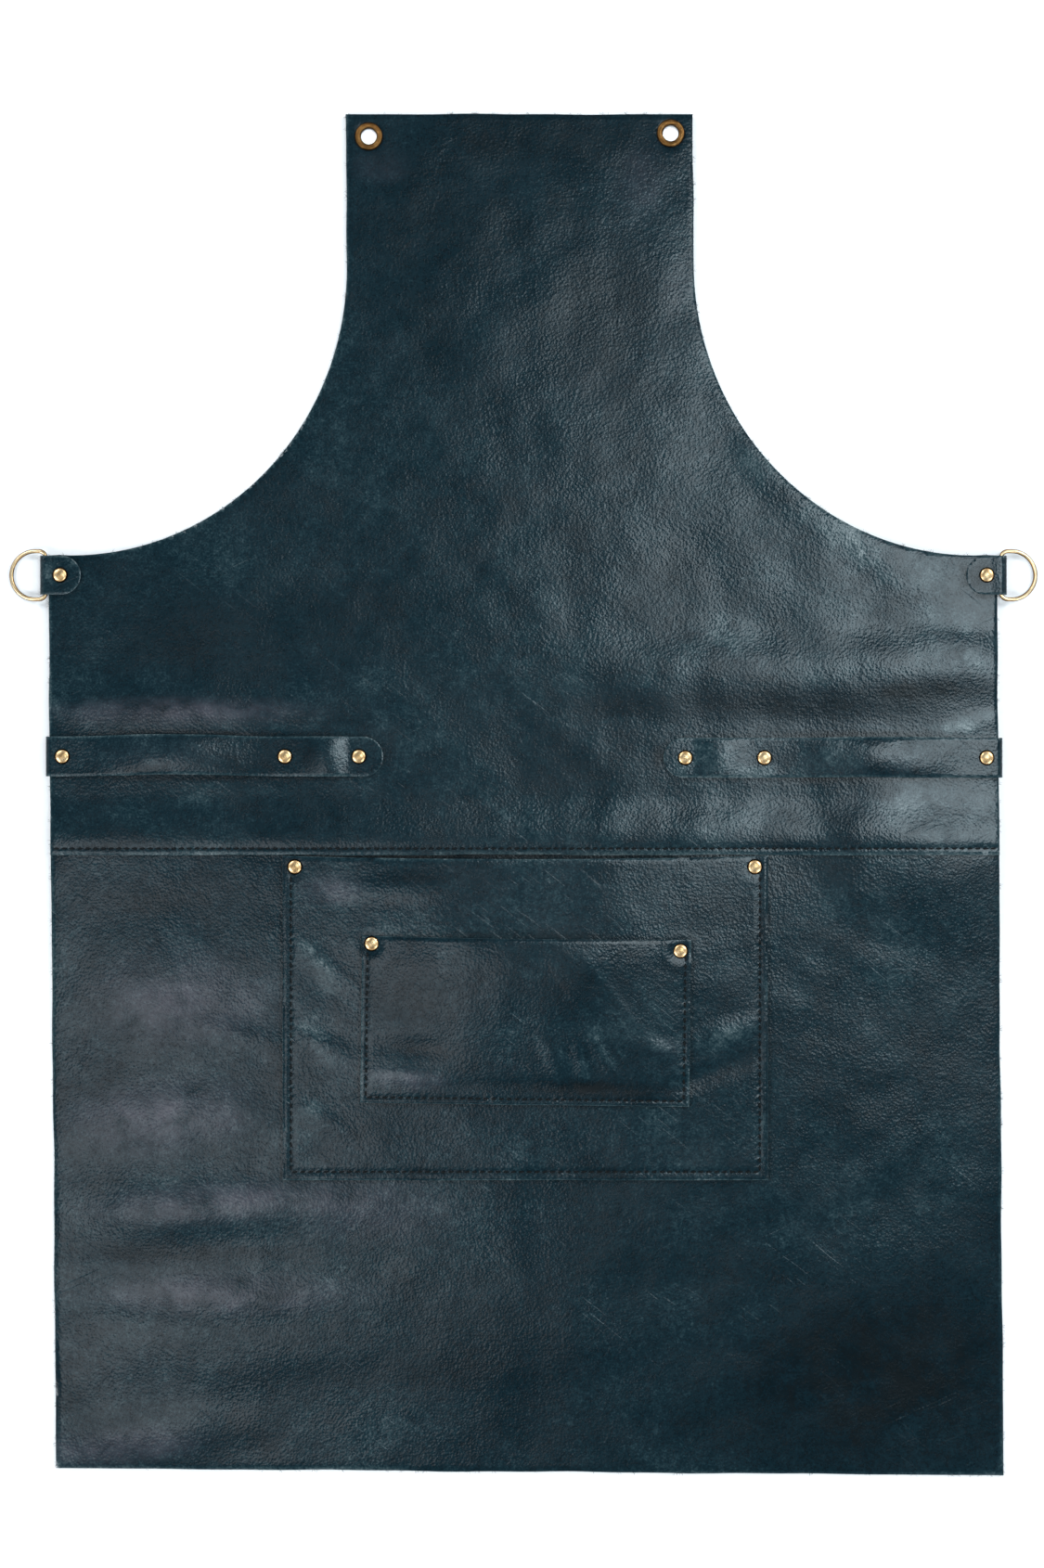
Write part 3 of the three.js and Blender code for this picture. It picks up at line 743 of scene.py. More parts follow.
    # Warm grey haze: wax bloom, and painted sheen where the lamps' reflection lies on the hide
    haze_and_sheen = add_node(tree, "Math", MULTIPLY, i0=bloom, i1=broken).outputs[0]
    haze_and_sheen = add_node(tree, "Math", MULTIPLY, i0=haze_and_sheen, i1=0.55).outputs[0]
    colour = add_node(
        tree, "Mix", {"data_type": "RGBA"}, i0=haze_and_sheen, i6=dye.outputs["Color"], i7=linear("#4a474f")
    ).outputs[2]

    # The lighter and better polished the hide, the sharper its sheen
    polish = add_node(
        tree, "TexNoise", Vector=hide, Scale=per_mm(34), Detail=7.0, Roughness=0.68, Distortion=0.3
    )
    shine = add_node(tree, "Math", MULTIPLY_ADD, i0=polish.outputs["Fac"], i1=1.5, i2=tone).outputs[0]
    gloss = add_node(
        tree, "MapRange", Value=shine, From_Min=0.75, From_Max=1.55, To_Min=0.28, To_Max=0.12
    ).outputs[0]

    # Relief: slack hide in 40 mm swells, wrinkles at 5 mm and pebbled grain.
    # The pebbles are drawn at 1.5 mm, about twice as coarse as real ones, so that they show.
    slack = add_node(tree, "TexNoise", Vector=hide, Scale=per_mm(40), Detail=1.0)
    wrinkles = add_node(tree, "TexNoise", Vector=hide, Scale=per_mm(5), Detail=3.0)
    pebbles = add_node(
        tree, "TexVoronoi", {"feature": "SMOOTH_F1"}, Vector=hide, Scale=per_mm(1.5), Smoothness=0.6
    )
    relief = None
    for height, depth in (
        (slack.outputs["Fac"], 0.9),
        (wrinkles.outputs["Fac"], 0.085),
        (pebbles.outputs["Distance"], 0.085),
        (scratch, 0.1),
    ):
        bump = add_node(tree, "Bump", Strength=1.0, Distance=depth * MM, Height=height)
        if relief:
            tree.links.new(relief, bump.inputs["Normal"])
        relief = bump.outputs["Normal"]
    surface = add_node(tree, "BsdfPrincipled", Base_Color=colour, Roughness=gloss, IOR=1.35, Normal=relief)
    tree.links.new(surface.outputs[0], output.inputs["Surface"])
    return material


def suede_flesh():
    """Flesh side of the hide, split and brushed: a dull grey-blue nap of fine fibres, with no gloss."""
    material, tree, output = new_material("suede_flesh_side")
    hide = add_node(tree, "Attribute", {"attribute_name": "hide"}).outputs["Vector"]
    nap = add_node(
        tree, "TexNoise", Vector=hide, Scale=per_mm(1.4), Detail=6.0, Roughness=0.75
    ).outputs["Fac"]
    brushed = add_node(tree, "TexNoise", Vector=hide, Scale=per_mm(30), Detail=4.0).outputs["Fac"]
    mixed = add_node(tree, "Math", MULTIPLY_ADD, i0=nap, i1=0.6, i2=brushed)
    colour = add_node(tree, "ValToRGB", Fac=mixed.outputs[0])
    set_stops(colour, [(0.45, linear("#23323a")), (1.1 / 1.2, linear("#4d5d65"))])
    relief = add_node(tree, "Bump", Strength=0.8, Distance=0.3 * MM, Height=nap)
    surface = add_node(
        tree,
        "BsdfPrincipled",
        Base_Color=colour.outputs["Color"],
        Roughness=0.95,
        Sheen_Weight=0.3,
        Normal=relief.outputs[0],
    )
    tree.links.new(surface.outputs[0], output.inputs["Surface"])
    return material


def speckled(name, place, noise, stops, bump=None, **finish):
    """A finish in two tones of one fine noise, on the hide's own places or the model's.
    A bump is the strength and depth of the same noise in relief."""
    material, tree, output = new_material(name)
    if place == "hide":
        place = add_node(tree, "Attribute", {"attribute_name": "hide"}).outputs["Vector"]
    else:
        place = add_node(tree, "TexCoord").outputs["Object"]
    speckle = add_node(tree, "TexNoise", Vector=place, **noise).outputs["Fac"]
    colour = add_node(tree, "ValToRGB", Fac=speckle)
    set_stops(colour, [(at, linear(shade)) for at, shade in stops])
    if bump:
        strength, depth = bump
        relief = add_node(tree, "Bump", Strength=strength, Distance=depth * MM, Height=speckle)
        finish["Normal"] = relief.outputs[0]
    surface = add_node(tree, "BsdfPrincipled", Base_Color=colour.outputs["Color"], **finish)
    tree.links.new(surface.outputs[0], output.inputs["Surface"])
    return material


def antique_brass():
    """Pressed brass, darkened in a bath and rubbed back: satin gold on the crowns, brown in the recesses,
    with painted shade round the cap rims and on the ring's sides.
    """
    material, tree, output = new_material("antique_brass")
    place = add_node(tree, "TexCoord").outputs["Object"]
    patina_and_shade = add_node(tree, "Attribute", {"attribute_name": "patina_and_shade"}).outputs["Fac"]
    stain = add_node(
        tree, "TexNoise", Vector=place, Scale=per_mm(3.0), Detail=4.0, Roughness=0.6
    ).outputs["Fac"]
    dark = add_node(
        tree, "Math", {**MULTIPLY_ADD, "use_clamp": True}, i0=stain, i1=0.45, i2=patina_and_shade
    ).outputs[0]
    colour = add_node(tree, "ValToRGB", Fac=dark)
    set_stops(
        colour,
        [
            (0.08, linear("#decba6")),
            (0.3, linear("#c39c69")),
            (0.7, linear("#6a4b28")),
            (1.0, linear("#1a120a")),
        ],
    )
    gloss = add_node(tree, "MapRange", Value=dark, From_Min=0.1, From_Max=1.0, To_Min=0.34, To_Max=0.45)
    relief = add_node(tree, "Bump", Strength=0.2, Distance=0.1 * MM, Height=stain)
    surface = add_node(
        tree,
        "BsdfPrincipled",
        Base_Color=colour.outputs["Color"],
        Metallic=1.0,
        Roughness=gloss.outputs[0],
        Normal=relief.outputs[0],
    )
    tree.links.new(surface.outputs[0], output.inputs["Surface"])
    return material


grain = pull_up_leather()
flesh = suede_flesh()

# Raw knife-cut edge of the hide, dyed through: paler fibres than the waxed grain, matt and uneven
raw_edge = speckled(
    "raw_cut_edge",
    "hide",
    {"Scale": per_mm(1.1), "Detail": 4.0, "Roughness": 0.7},
    [(0.3, "#1d3038"), (0.75, "#4a6068")],
    bump=(0.7, 0.2),
    Roughness=0.8,
)

# Waxed polyester thread, three plies twisted: almost black, with a dull shine on each ply
thread = speckled(
    "waxed_polyester_thread",
    "model",
    {"Scale": per_mm(0.6), "Detail": 2.0},
    [(0.3, "#020405"), (0.75, "#0a1114")],
    bump=(0.5, 0.1),
    Roughness=0.7,
    Specular_IOR_Level=0.15,
)

# Collagen fibres pulled out of the cut edge, dyed with the hide: dark, matt and uneven along their length
fibre = speckled(
    "dyed_hide_fibre",
    "model",
    {"Scale": per_mm(2.0), "Detail": 2.0},
    [(0.3, "#0b181d"), (0.75, "#22343b")],
    Roughness=0.85,
)

brass = antique_brass()

# White matt emulsion on a board: pale, even, with a faint roller mark
table_paint = speckled(
    "white_matt_paint",
    "model",
    {"Scale": per_mm(6), "Detail": 2.0},
    [(0.3, "#f3f4f5"), (0.7, "#f6f7f8")],
    Roughness=0.9,
)


# Panels


def leaning(points):
    return [(x + centre_x(y), y) for x, y in points]


def upper_outline():
    half, bib = APRON_WIDTH / 2, BIB_WIDTH / 2
    arc_x, arc_y = half - ARMHOLE_FLAT, UNDERARM_Y + ARMHOLE_DROP
    radii = (ARMHOLE_WIDTH, ARMHOLE_DROP)
    corners = [(-half, UNDERARM_Y), (-half, SEAM_EDGE_Y), (half, SEAM_EDGE_Y), (half, UNDERARM_Y)]
    corners += arc((arc_x, arc_y), radii, 270, 180, ARC_STEPS)
    corners += [(bib, TOP_Y), (-bib, TOP_Y)]
    corners += arc((-arc_x, arc_y), radii, 0, -90, ARC_STEPS)
    return leaning(hand_cut(corners))


def lower_outline():
    half, top = APRON_WIDTH / 2, SEAM_EDGE_Y + SEAM_LAP
    return leaning(hand_cut([(-half, HEM_LEFT_Y), (half, HEM_RIGHT_Y), (half, top), (-half, top)]))


SEAM_END = 1.5
FOLD_RUB = 0.1
SLICE_REACH = APRON_WIDTH / 2 + 8
UPPER_GRID = 3.5
LOWER_GRID = 4.0
seam_y = SEAM_EDGE_Y + SEAM_STITCH_INSET
seam_reach = APRON_WIDTH / 2 - SEAM_END
seam_line = stitch_places((-seam_reach + centre_x(seam_y), seam_y), (seam_reach + centre_x(seam_y), seam_y))


def shape_upper(x, y):
    dip = stitch_dip([seam_line], x, y)
    return x, y, upper_top(x, y) - dip, FOLD_RUB * soft_sum(PANEL_FOLDS, x, y, "height")


def shape_lower(x, y):
    return x, y, lower_top(x, y), FOLD_RUB * soft_sum(PANEL_FOLDS, x, y, "height")


cut, upper_area = flat_cut(
    upper_outline(),
    grid_lines(-SLICE_REACH, SLICE_REACH, UPPER_GRID, halves(seam_line, 0)),
    grid_lines(SEAM_EDGE_Y, TOP_Y, UPPER_GRID, with_border([seam_y])),
)
for place in EYELETS:
    round_hole(cut, place, EYELET_HOLE)
upper_panel = hide_piece("upper_panel_hide", cut, shape_upper, UPPER_PATCHES, (0, 0), "upper_panel")

cut, lower_area = flat_cut(
    lower_outline(),
    grid_lines(-SLICE_REACH, SLICE_REACH, LOWER_GRID),
    grid_lines(HEM_RIGHT_Y, SEAM_EDGE_Y + SEAM_LAP, LOWER_GRID),
)
lower_panel = hide_piece("lower_panel_hide", cut, shape_lower, LOWER_PATCHES, (900, 300), "lower_panel")

# Pockets

MOUTH_STEPS = 40
POCKET_GRID = 2.6
POCKET_FOLD_RUB = 0.12


def pocket_outline(pocket):
    half_w, half_h = pocket.width / 2, pocket.height / 2
    mouth = [half_w - pocket.width * k / MOUTH_STEPS for k in range(MOUTH_STEPS + 1)]
    points = [(x, half_h - pocket.sag * (1.0 - (x / half_w) ** 2)) for x in mouth]
    return hand_cut([*points, (-half_w, -half_h), (half_w, -half_h)], CUT_WANDER / 2)


def to_plan(pocket, along, up):
    """Plan places of points in a pocket's own axes."""
    angle = math.radians(pocket.turn)
    x = pocket.x + along * math.cos(angle) - up * math.sin(angle)
    y = pocket.y + along * math.sin(angle) + up * math.cos(angle)
    return x, y


def pocket_piece(pocket, top, folds, patches, shift, node):
    """A pocket front with its flat area, its sewing lines and the shape that it lies in."""
    lines = pocket_lines(pocket)
    left, bottom = lines[0], lines[1]
    half_w, half_h = pocket.width / 2, pocket.height / 2
    sides = with_border([-left[0][0], left[0][0]])
    columns = grid_lines(-half_w, half_w, POCKET_GRID, [*halves(bottom, 0), *sides])
    rows = grid_lines(-half_h, half_h, POCKET_GRID, [*halves(left, 1), *with_border([bottom[0][1]])])

    def shape(along, up):
        x, y = to_plan(pocket, along, up)
        bend = POCKET_FOLD_RUB * soft_sum(folds, x, y, "height")
        return x, y, top(x, y) - stitch_dip(lines, along, up), bend

    bm, area = flat_cut(pocket_outline(pocket), columns, rows)
    return hide_piece(node + "_front", bm, shape, patches, shift, node), area, lines, shape


large_pocket, large_area, large_lines, large_shape = pocket_piece(
    LARGE_POCKET, large_top, LARGE_POCKET_FOLDS, LARGE_POCKET_PATCHES, (1800, 0), "large_pocket"
)
small_pocket, small_area, small_lines, small_shape = pocket_piece(
    SMALL_POCKET, small_top, SMALL_POCKET_FOLDS, SMALL_POCKET_PATCHES, (2400, 500), "small_pocket"
)

# Strips folded round the side edges

FOLD_STEPS = 14
LOOP_STEPS = 40
END_STEPS = 28
STRIP_COLUMNS = 1.2
STRIP_ROWS = 2.6
# Bent hide is drawn lighter, as pull-up leather pales where stretched; at the tabs' folds this is also a
# painted highlight
CURL_RUB_AND_HIGHLIGHT = 1.2
CURL_LIMIT = 0.06


def fold_arc(middle_d, radius):
    """Half turn of a fold, from above its middle to below it."""
    angles = [math.pi / 2 - math.pi * k / FOLD_STEPS for k in range(FOLD_STEPS + 1)]
    return [(middle_d + radius * math.cos(a), FOLD_MIDDLE_Z + radius * math.sin(a), 0.0) for a in angles]


def strap_path(strap):
    """Middle of the strap's thickness: distances outwards, heights, and each loop's arch in them."""
    levels = [LOW_SEAT + PLY + LEATHER / 2] * 2 + [HIGH_SEAT + PLY + LEATHER / 2]
    path = [(strap.inner_end, levels[0], 0.0)]
    for i, (rise, skew) in enumerate(zip(strap.rises, LOOP_SKEWS)):
        start = strap.rivets[i] + STRAP_SEAT
        span = strap.rivets[i + 1] - STRAP_SEAT - start
        for k in range(LOOP_STEPS + 1):
            share = k / LOOP_STEPS
            level = levels[i] + (levels[i + 1] - levels[i]) * float(smoothstep(share, 0.0, 1.0))
            arch = rise * math.sin(math.pi * share**skew) ** 2
            path.append((start + span * share, level + arch, arch))
    edge = side_edge(strap.outward, strap.y)
    path += fold_arc(edge - STRAP_FOLD_INSET, PLY)
    path.append((edge - STRAP_BACK_FLAP, FOLD_MIDDLE_Z - PLY, 0.0))
    return np.array(path)


def tab_path(outward):
    """Middle of the tab's thickness, out along its upper leaf, round the ring's bar and back."""
    spread = side_edge(outward, TAB_Y) - 2 * PLY
    upper, lower = FOLD_MIDDLE_Z + PLY, FOLD_MIDDLE_Z - PLY
    radius = WIRE / 2 + BAR_PLAY + LEATHER / 2
    path = [(TAB_INNER_END, upper, 0.0), (spread, upper, 0.0), *fold_arc(BAR_X, radius)]
    return np.array([*path, (spread, lower, 0.0), (TAB_INNER_END, lower, 0.0)])


def strip_piece(name, path, width, y_line, outward, last_end, node, shift, sideways=None):
    """A strip cut flat, its first end round and its last one round or square, bent along its path."""
    line, arches = path[:, :2], path[:, 2]
    steps = np.hypot(*np.diff(line, axis=0).T)
    travel = np.concatenate([[0.0], np.cumsum(steps)])
    length, radius = travel[-1], width / 2
    turns = np.unwrap(np.arctan2(*np.diff(line, axis=0).T[::-1]))
    curl = -np.diff(turns) / ((steps[1:] + steps[:-1]) / 2)
    corners = arc((radius, 0.0), (radius, radius), 90, 270, END_STEPS)
    if last_end == "round":
        corners += arc((length - radius, 0.0), (radius, radius), -90, 90, END_STEPS)
    else:
        corners += [(length, -radius), (length, radius)]

    def shape(s, w):
        d, z = np.interp(s, travel, line[:, 0]), np.interp(s, travel, line[:, 1])
        z -= LOOP_CUP * (w / radius) ** 2 * np.interp(s, travel, arches)
        off = sideways(d) if sideways else 0.0
        bend = CURL_RUB_AND_HIGHLIGHT * np.clip(np.interp(s, travel[1:-1], curl), -CURL_LIMIT, CURL_LIMIT)
        return outward * d, y_line + outward * w + off, z, bend

    columns, rows = grid_lines(0.0, length, STRIP_COLUMNS), grid_lines(-radius, radius, STRIP_ROWS)
    bm, area = flat_cut(hand_cut(corners, CUT_WANDER / 2), columns, rows)
    return hide_piece(name, bm, shape, STRAP_PATCHES, shift, node, offset=0.0), area, length


for i, strap in enumerate(STRAPS):
    inner, outer = strap.rivets[1], strap.rivets[2]

    def bowed(d, strap=strap, inner=inner, outer=outer):
        share = np.clip((d - inner) / (outer - inner), 0.0, 1.0)
        return strap.bow * np.sin(math.pi * share) ** 2

    made = strip_piece(
        f"{strap.side}_strap_hide",
        strap_path(strap),
        STRAP_WIDTH,
        strap.y,
        strap.outward,
        "square",
        f"{strap.side}_towel_strap",
        (300 * i, 1500),
        bowed,
    )

for i, (side, outward) in enumerate(SIDES):
    made = strip_piece(
        f"{side}_tab_hide",
        tab_path(outward),
        TAB_WIDTH,
        TAB_Y,
        outward,
        "round",
        f"{side}_ring_tab",
        (200 * i, 2100),
    )

# Brass


def turned_piece(name, profile, steps, place, patina_and_shade, node):
    """Revolves a profile of radii and heights about the vertical, at its place."""
    bm = bmesh.new()
    verts = [bm.verts.new((radius, 0.0, height)) for radius, height in profile]
    edges = [bm.edges.new(pair) for pair in zip(verts, verts[1:])]
    bmesh.ops.spin(
        bm,
        geom=[*verts, *edges],
        cent=(0.0, 0.0, 0.0),
        axis=(0.0, 0.0, 1.0),
        angle=2 * math.pi,
        steps=steps,
        use_merge=True,
    )
    bmesh.ops.remove_doubles(bm, verts=bm.verts, dist=0.001)
    bmesh.ops.recalc_face_normals(bm, faces=bm.faces)
    mesh = bpy.data.meshes.new(name)
    bm.to_mesh(mesh)
    bm.free()
    points = read_points(mesh)
    paint(mesh, "patina_and_shade", patina_and_shade(np.hypot(points[:, 0], points[:, 1]), points[:, 2]))
    write_points(mesh, (points + place) * MM)
    piece = add_piece(name, mesh, [brass], [node])
    mesh.set_sharp_from_angle(angle=math.radians(50))
    return piece


BACK_CAP_RADIUS = 4.0
BACK_CAP = 0.8
CAP_HEIGHT = 2.0
CAP_RIM = 0.55
CAP_FLANGE = CAP_RADIUS + 0.45
CROWN_RADIUS = CAP_RADIUS - 0.12
CROWN_STEPS = 9
CROWN_FULLNESS = 1.2
POST_RADIUS = 1.6
SEATING = 0.75
RIVET_SEGMENTS = 36
RIM_STAIN_AND_SHADE = 0.9
UNDER_STAIN = 0.5


def rivet_piece(node, seat=None):
    """Double-cap rivet: domed front cap with a low rim, a post, and a flatter back cap.
    A seat, where given, is the hide's height at a place, and the rivet is lowered onto it."""
    low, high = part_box(node)
    middle = (low + high) / 2 / MM
    bottom, top = low.z / MM, high.z / MM
    if seat:
        drop = top - CAP_HEIGHT - float(seat(np.array([middle.x]), np.array([middle.y]))[0])
        bottom, top = bottom - drop, top - drop
    rim = top - CAP_HEIGHT

    # Back cap, post, flange and crown, from the bottom up
    profile = [(0.0, bottom), (BACK_CAP_RADIUS - 0.7, bottom), (BACK_CAP_RADIUS, bottom + 0.45)]
    profile += [(BACK_CAP_RADIUS, bottom + BACK_CAP), (POST_RADIUS, bottom + BACK_CAP + 0.1)]
    profile += [(POST_RADIUS, rim - 0.1), (CAP_FLANGE - 0.15, rim - SEATING), (CAP_FLANGE, rim - 0.2)]
    profile.append((CAP_FLANGE - 0.1, rim + 0.1))
    for k in range(CROWN_STEPS + 1):
        angle = math.pi / 2 * k / CROWN_STEPS
        rise = (CAP_HEIGHT - CAP_RIM) * math.sin(angle) ** CROWN_FULLNESS
        profile.append((CROWN_RADIUS * math.cos(angle), rim + CAP_RIM + rise))

    def patina_and_shade(radius, height):
        # Darker round the cap's rim: patina, and painted shade where the cap's edge shades the hide
        rim_stain_and_shade = RIM_STAIN_AND_SHADE * smoothstep(radius, CAP_RADIUS - 0.7, CAP_RADIUS)
        return rim_stain_and_shade + UNDER_STAIN * (height < rim - 0.05)

    return turned_piece(node + "_cap", profile, RIVET_SEGMENTS, (middle.x, middle.y, 0.0), patina_and_shade, node)


EYELET_BORE = 5.0
EYELET_FLANGE = 9.0
EYELET_ROLL = 7.5
EYELET_TUBE = 5.5
FLANGE_HEIGHT = 1.3
FLANGE_FULLNESS = 0.8
FLANGE_STEPS = 12
ROLL_HEIGHT = 0.7
ROLL_STEPS = 8
EYELET_SEGMENTS = 48
EYELET_STAIN = 0.48
EYELET_RIM_STAIN = 0.5


def eyelet_piece(node):
    """Eyelet: a rolled, domed flange on the front, a tube through the hide and a curled-over back."""
    low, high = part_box(node)
    middle = (low + high) / 2 / MM
    bottom, top = low.z / MM, high.z / MM
    flange = top - FLANGE_HEIGHT
    mid, half = (EYELET_BORE + EYELET_FLANGE) / 2, (EYELET_FLANGE - EYELET_BORE) / 2
    roll_mid, roll_half = (EYELET_BORE + EYELET_ROLL) / 2, (EYELET_ROLL - EYELET_BORE) / 2
    profile = []
    for k in range(FLANGE_STEPS + 1):
        angle = math.pi * k / FLANGE_STEPS
        rise = FLANGE_HEIGHT * math.sin(angle) ** FLANGE_FULLNESS
        profile.append((mid + half * math.cos(angle), flange + rise))
    for k in range(ROLL_STEPS + 1):
        angle = math.pi * k / ROLL_STEPS
        height = bottom + ROLL_HEIGHT * (1.0 - math.sin(angle))
        profile.append((roll_mid - roll_half * math.cos(angle), height))
    profile += [(EYELET_TUBE, bottom + BACK_CAP), (EYELET_TUBE, flange - 0.3)]
    profile += [(EYELET_FLANGE - 0.1, flange - 0.5), profile[0]]

    def patina_and_shade(radius, height):
        inner = 1.0 - smoothstep(radius, EYELET_BORE, EYELET_BORE + 0.9)
        outer = smoothstep(radius, EYELET_FLANGE - 1.0, EYELET_FLANGE - 0.1)
        return EYELET_STAIN + EYELET_RIM_STAIN * inner + EYELET_RIM_STAIN * outer

    return turned_piece(node + "_ring", profile, EYELET_SEGMENTS, (middle.x, middle.y, 0.0), patina_and_shade, node)


for strap in STRAPS:
    for number in range(1, len(strap.rivets) + 1):
        rivet_piece(f"{strap.side}_strap_rivet_{number}")
for side, _ in SIDES:
    rivet_piece(f"{side}_tab_rivet")
    rivet_piece(f"large_pocket_{side}_rivet")
    rivet_piece(f"small_pocket_{side}_rivet", small_top)
    eyelet_piece(f"{side}_eyelet")

WIRE_SEGMENTS = 14
CORNER_STEPS = 8
BOW_STEPS = 40
RING_STAIN_AND_SHADE = 0.8
RING_TOP_RUB_AND_HIGHLIGHT = 0.95
RING_TOP_RUB_AND_HIGHLIGHT_HEIGHTS = (0.2, 0.48)


def ring_piece(side, outward):
    """Bent wire ring: half a bar, corner, straight, bow, straight, corner and the other half of the bar."""
    node = f"{side}_d_ring"
    low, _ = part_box(node)
    bar_end = RING_HALF_HEIGHT - RING_CORNER
    bow_x = RING_DEPTH - RING_HALF_HEIGHT
    bm = bmesh.new()
    start = Matrix.Translation((0.0, RING_BUTT_GAP / 2, 0.0)) @ Matrix.Rotation(math.pi / 2, 4, "X")
    bmesh.ops.create_circle(bm, segments=WIRE_SEGMENTS, radius=WIRE / 2, matrix=start)
    first = list(bm.edges)

    def straight(loop, move):
        grown = bmesh.ops.extrude_edge_only(bm, edges=loop)["geom"]
        verts = [g for g in grown if isinstance(g, bmesh.types.BMVert)]
        bmesh.ops.translate(bm, verts=verts, vec=move)
        return [g for g in grown if isinstance(g, bmesh.types.BMEdge) and all(v in verts for v in g.verts)]

    def turn(loop, middle, angle, steps):
        verts = list({v for e in loop for v in e.verts})
        spun = bmesh.ops.spin(
            bm,
            geom=[*verts, *loop],
            cent=(*middle, 0.0),
            axis=(0.0, 0.0, 1.0),
            angle=math.radians(angle),
            steps=steps,
        )["geom_last"]
        return [g for g in spun if isinstance(g, bmesh.types.BMEdge)]

    loop = straight(first, (0.0, bar_end - RING_BUTT_GAP / 2, 0.0))
    loop = turn(loop, (RING_CORNER, bar_end), -90, CORNER_STEPS)
    loop = straight(loop, (bow_x - RING_CORNER, 0.0, 0.0))
    loop = turn(loop, (bow_x, 0.0), -180, BOW_STEPS)
    loop = straight(loop, (RING_CORNER - bow_x, 0.0, 0.0))
    loop = turn(loop, (RING_CORNER, -bar_end), -90, CORNER_STEPS)
    loop = straight(loop, (0.0, bar_end - RING_BUTT_GAP / 2, 0.0))
    for end in (first, loop):
        bmesh.ops.contextual_create(bm, geom=[e for e in end if e.is_valid])
    bmesh.ops.recalc_face_normals(bm, faces=bm.faces)

    # The bow droops from its bar to the table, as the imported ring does
    bow_z = low.z / MM + WIRE / 2
    droop = math.asin((FOLD_MIDDLE_Z - bow_z) / RING_DEPTH)
    place = Matrix.Translation((outward * BAR_X, TAB_Y, FOLD_MIDDLE_Z))
    place = place @ Matrix.Rotation(0.0 if outward > 0 else math.pi, 4, "Z") @ Matrix.Rotation(droop, 4, "Y")
    mesh = bpy.data.meshes.new(node + "_wire")
    bm.to_mesh(mesh)
    bm.free()
    points = read_points(mesh)
    # The wire darker down its sides and lighter along its top: painted shade and a painted highlight over its
    # patina and wear
    paint(mesh, "patina_and_shade", RING_STAIN_AND_SHADE - RING_TOP_RUB_AND_HIGHLIGHT * smoothstep(points[:, 2] / WIRE, *RING_TOP_RUB_AND_HIGHLIGHT_HEIGHTS))
    mesh.transform(place)
    mesh.transform(Matrix.Scale(MM, 4))
    return add_piece(node + "_wire", mesh, [brass], [node], body=f"{side}_ring")


for side, outward in SIDES:
    ring_piece(side, outward)

# Stitches and loose fibres, as joined copies of one small shape


def small_shape_of(make):
    """Points and faces of a small shape."""
    bm = bmesh.new()
    make(bm)
    bm.verts.index_update()
    points = np.array([v.co for v in bm.verts])
    faces = [[v.index for v in f.verts] for f in bm.faces]
    bm.free()
    return points, faces


def joined_copies(name, copies, faces, material):
    """One piece from many bent copies of a small shape."""
    count = len(copies[0])
    all_faces = [[i + count * k for i in face] for k in range(len(copies)) for face in faces]
    mesh = bpy.data.meshes.new(name)
    mesh.from_pydata((np.concatenate(copies) * MM).tolist(), [], all_faces)
    add_piece(name, mesh, [material])


ALONG_X = Matrix.Rotation(math.pi / 2, 3, "Y")
STITCH_GAP = 1.5
STITCH_LIFT = 0.55
POCKET_SLANT = 0.07
SEAM_SLANT = 0.025
SLANT_SPREAD = (0.7, 1.3)


def stitches(name, lines, surface, slant):
    """Thread lying along each step of the sewing lines, its ends drawn down into the needle holes."""

    def seed(bm):
        bmesh.ops.create_uvsphere(bm, u_segments=8, v_segments=6, radius=0.5)
        bmesh.ops.rotate(bm, verts=bm.verts, cent=(0, 0, 0), matrix=ALONG_X)

    seed_points, faces = small_shape_of(seed)
    copies = []
    for line in lines:
        for a, b in zip(line, line[1:]):
            step = b - a
            length = float(np.hypot(*step))
            run = step / length
            aside = np.array([-run[1], run[0]])
            along = seed_points[:, 0] * (length - STITCH_GAP)
            across = seed_points[:, 1] * THREAD + along * slant * rng.uniform(*SLANT_SPREAD)
            place = (a + b) / 2 + along[:, None] * run + across[:, None] * aside
            x, y, z, _ = surface(place[:, 0], place[:, 1])
            arch = STITCH_LIFT * (1.0 - (2 * along / length) ** 2)
            copies.append(np.stack([x, y, z + arch + seed_points[:, 2] * THREAD], -1))
    joined_copies(name, copies, faces, thread)


stitches("seam_stitches", [seam_line], shape_upper, SEAM_SLANT)
stitches("large_pocket_stitches", large_lines, large_shape, POCKET_SLANT)
stitches("small_pocket_stitches", small_lines, small_shape, POCKET_SLANT)

FIBRE = 0.16
FIBRE_LENGTHS = (0.7, 2.4)
FIBRES_IN_TUFT = (2, 7)
FIBRE_SPREAD = 0.9
FIBRE_LEAN = 0.8
FIBRE_CURL = 0.5
FIBRE_ROOT = 0.2
FIBRE_LIFT = (-0.3, 0.6)
UPPER_TUFTS = 150
LOWER_TUFTS = 130


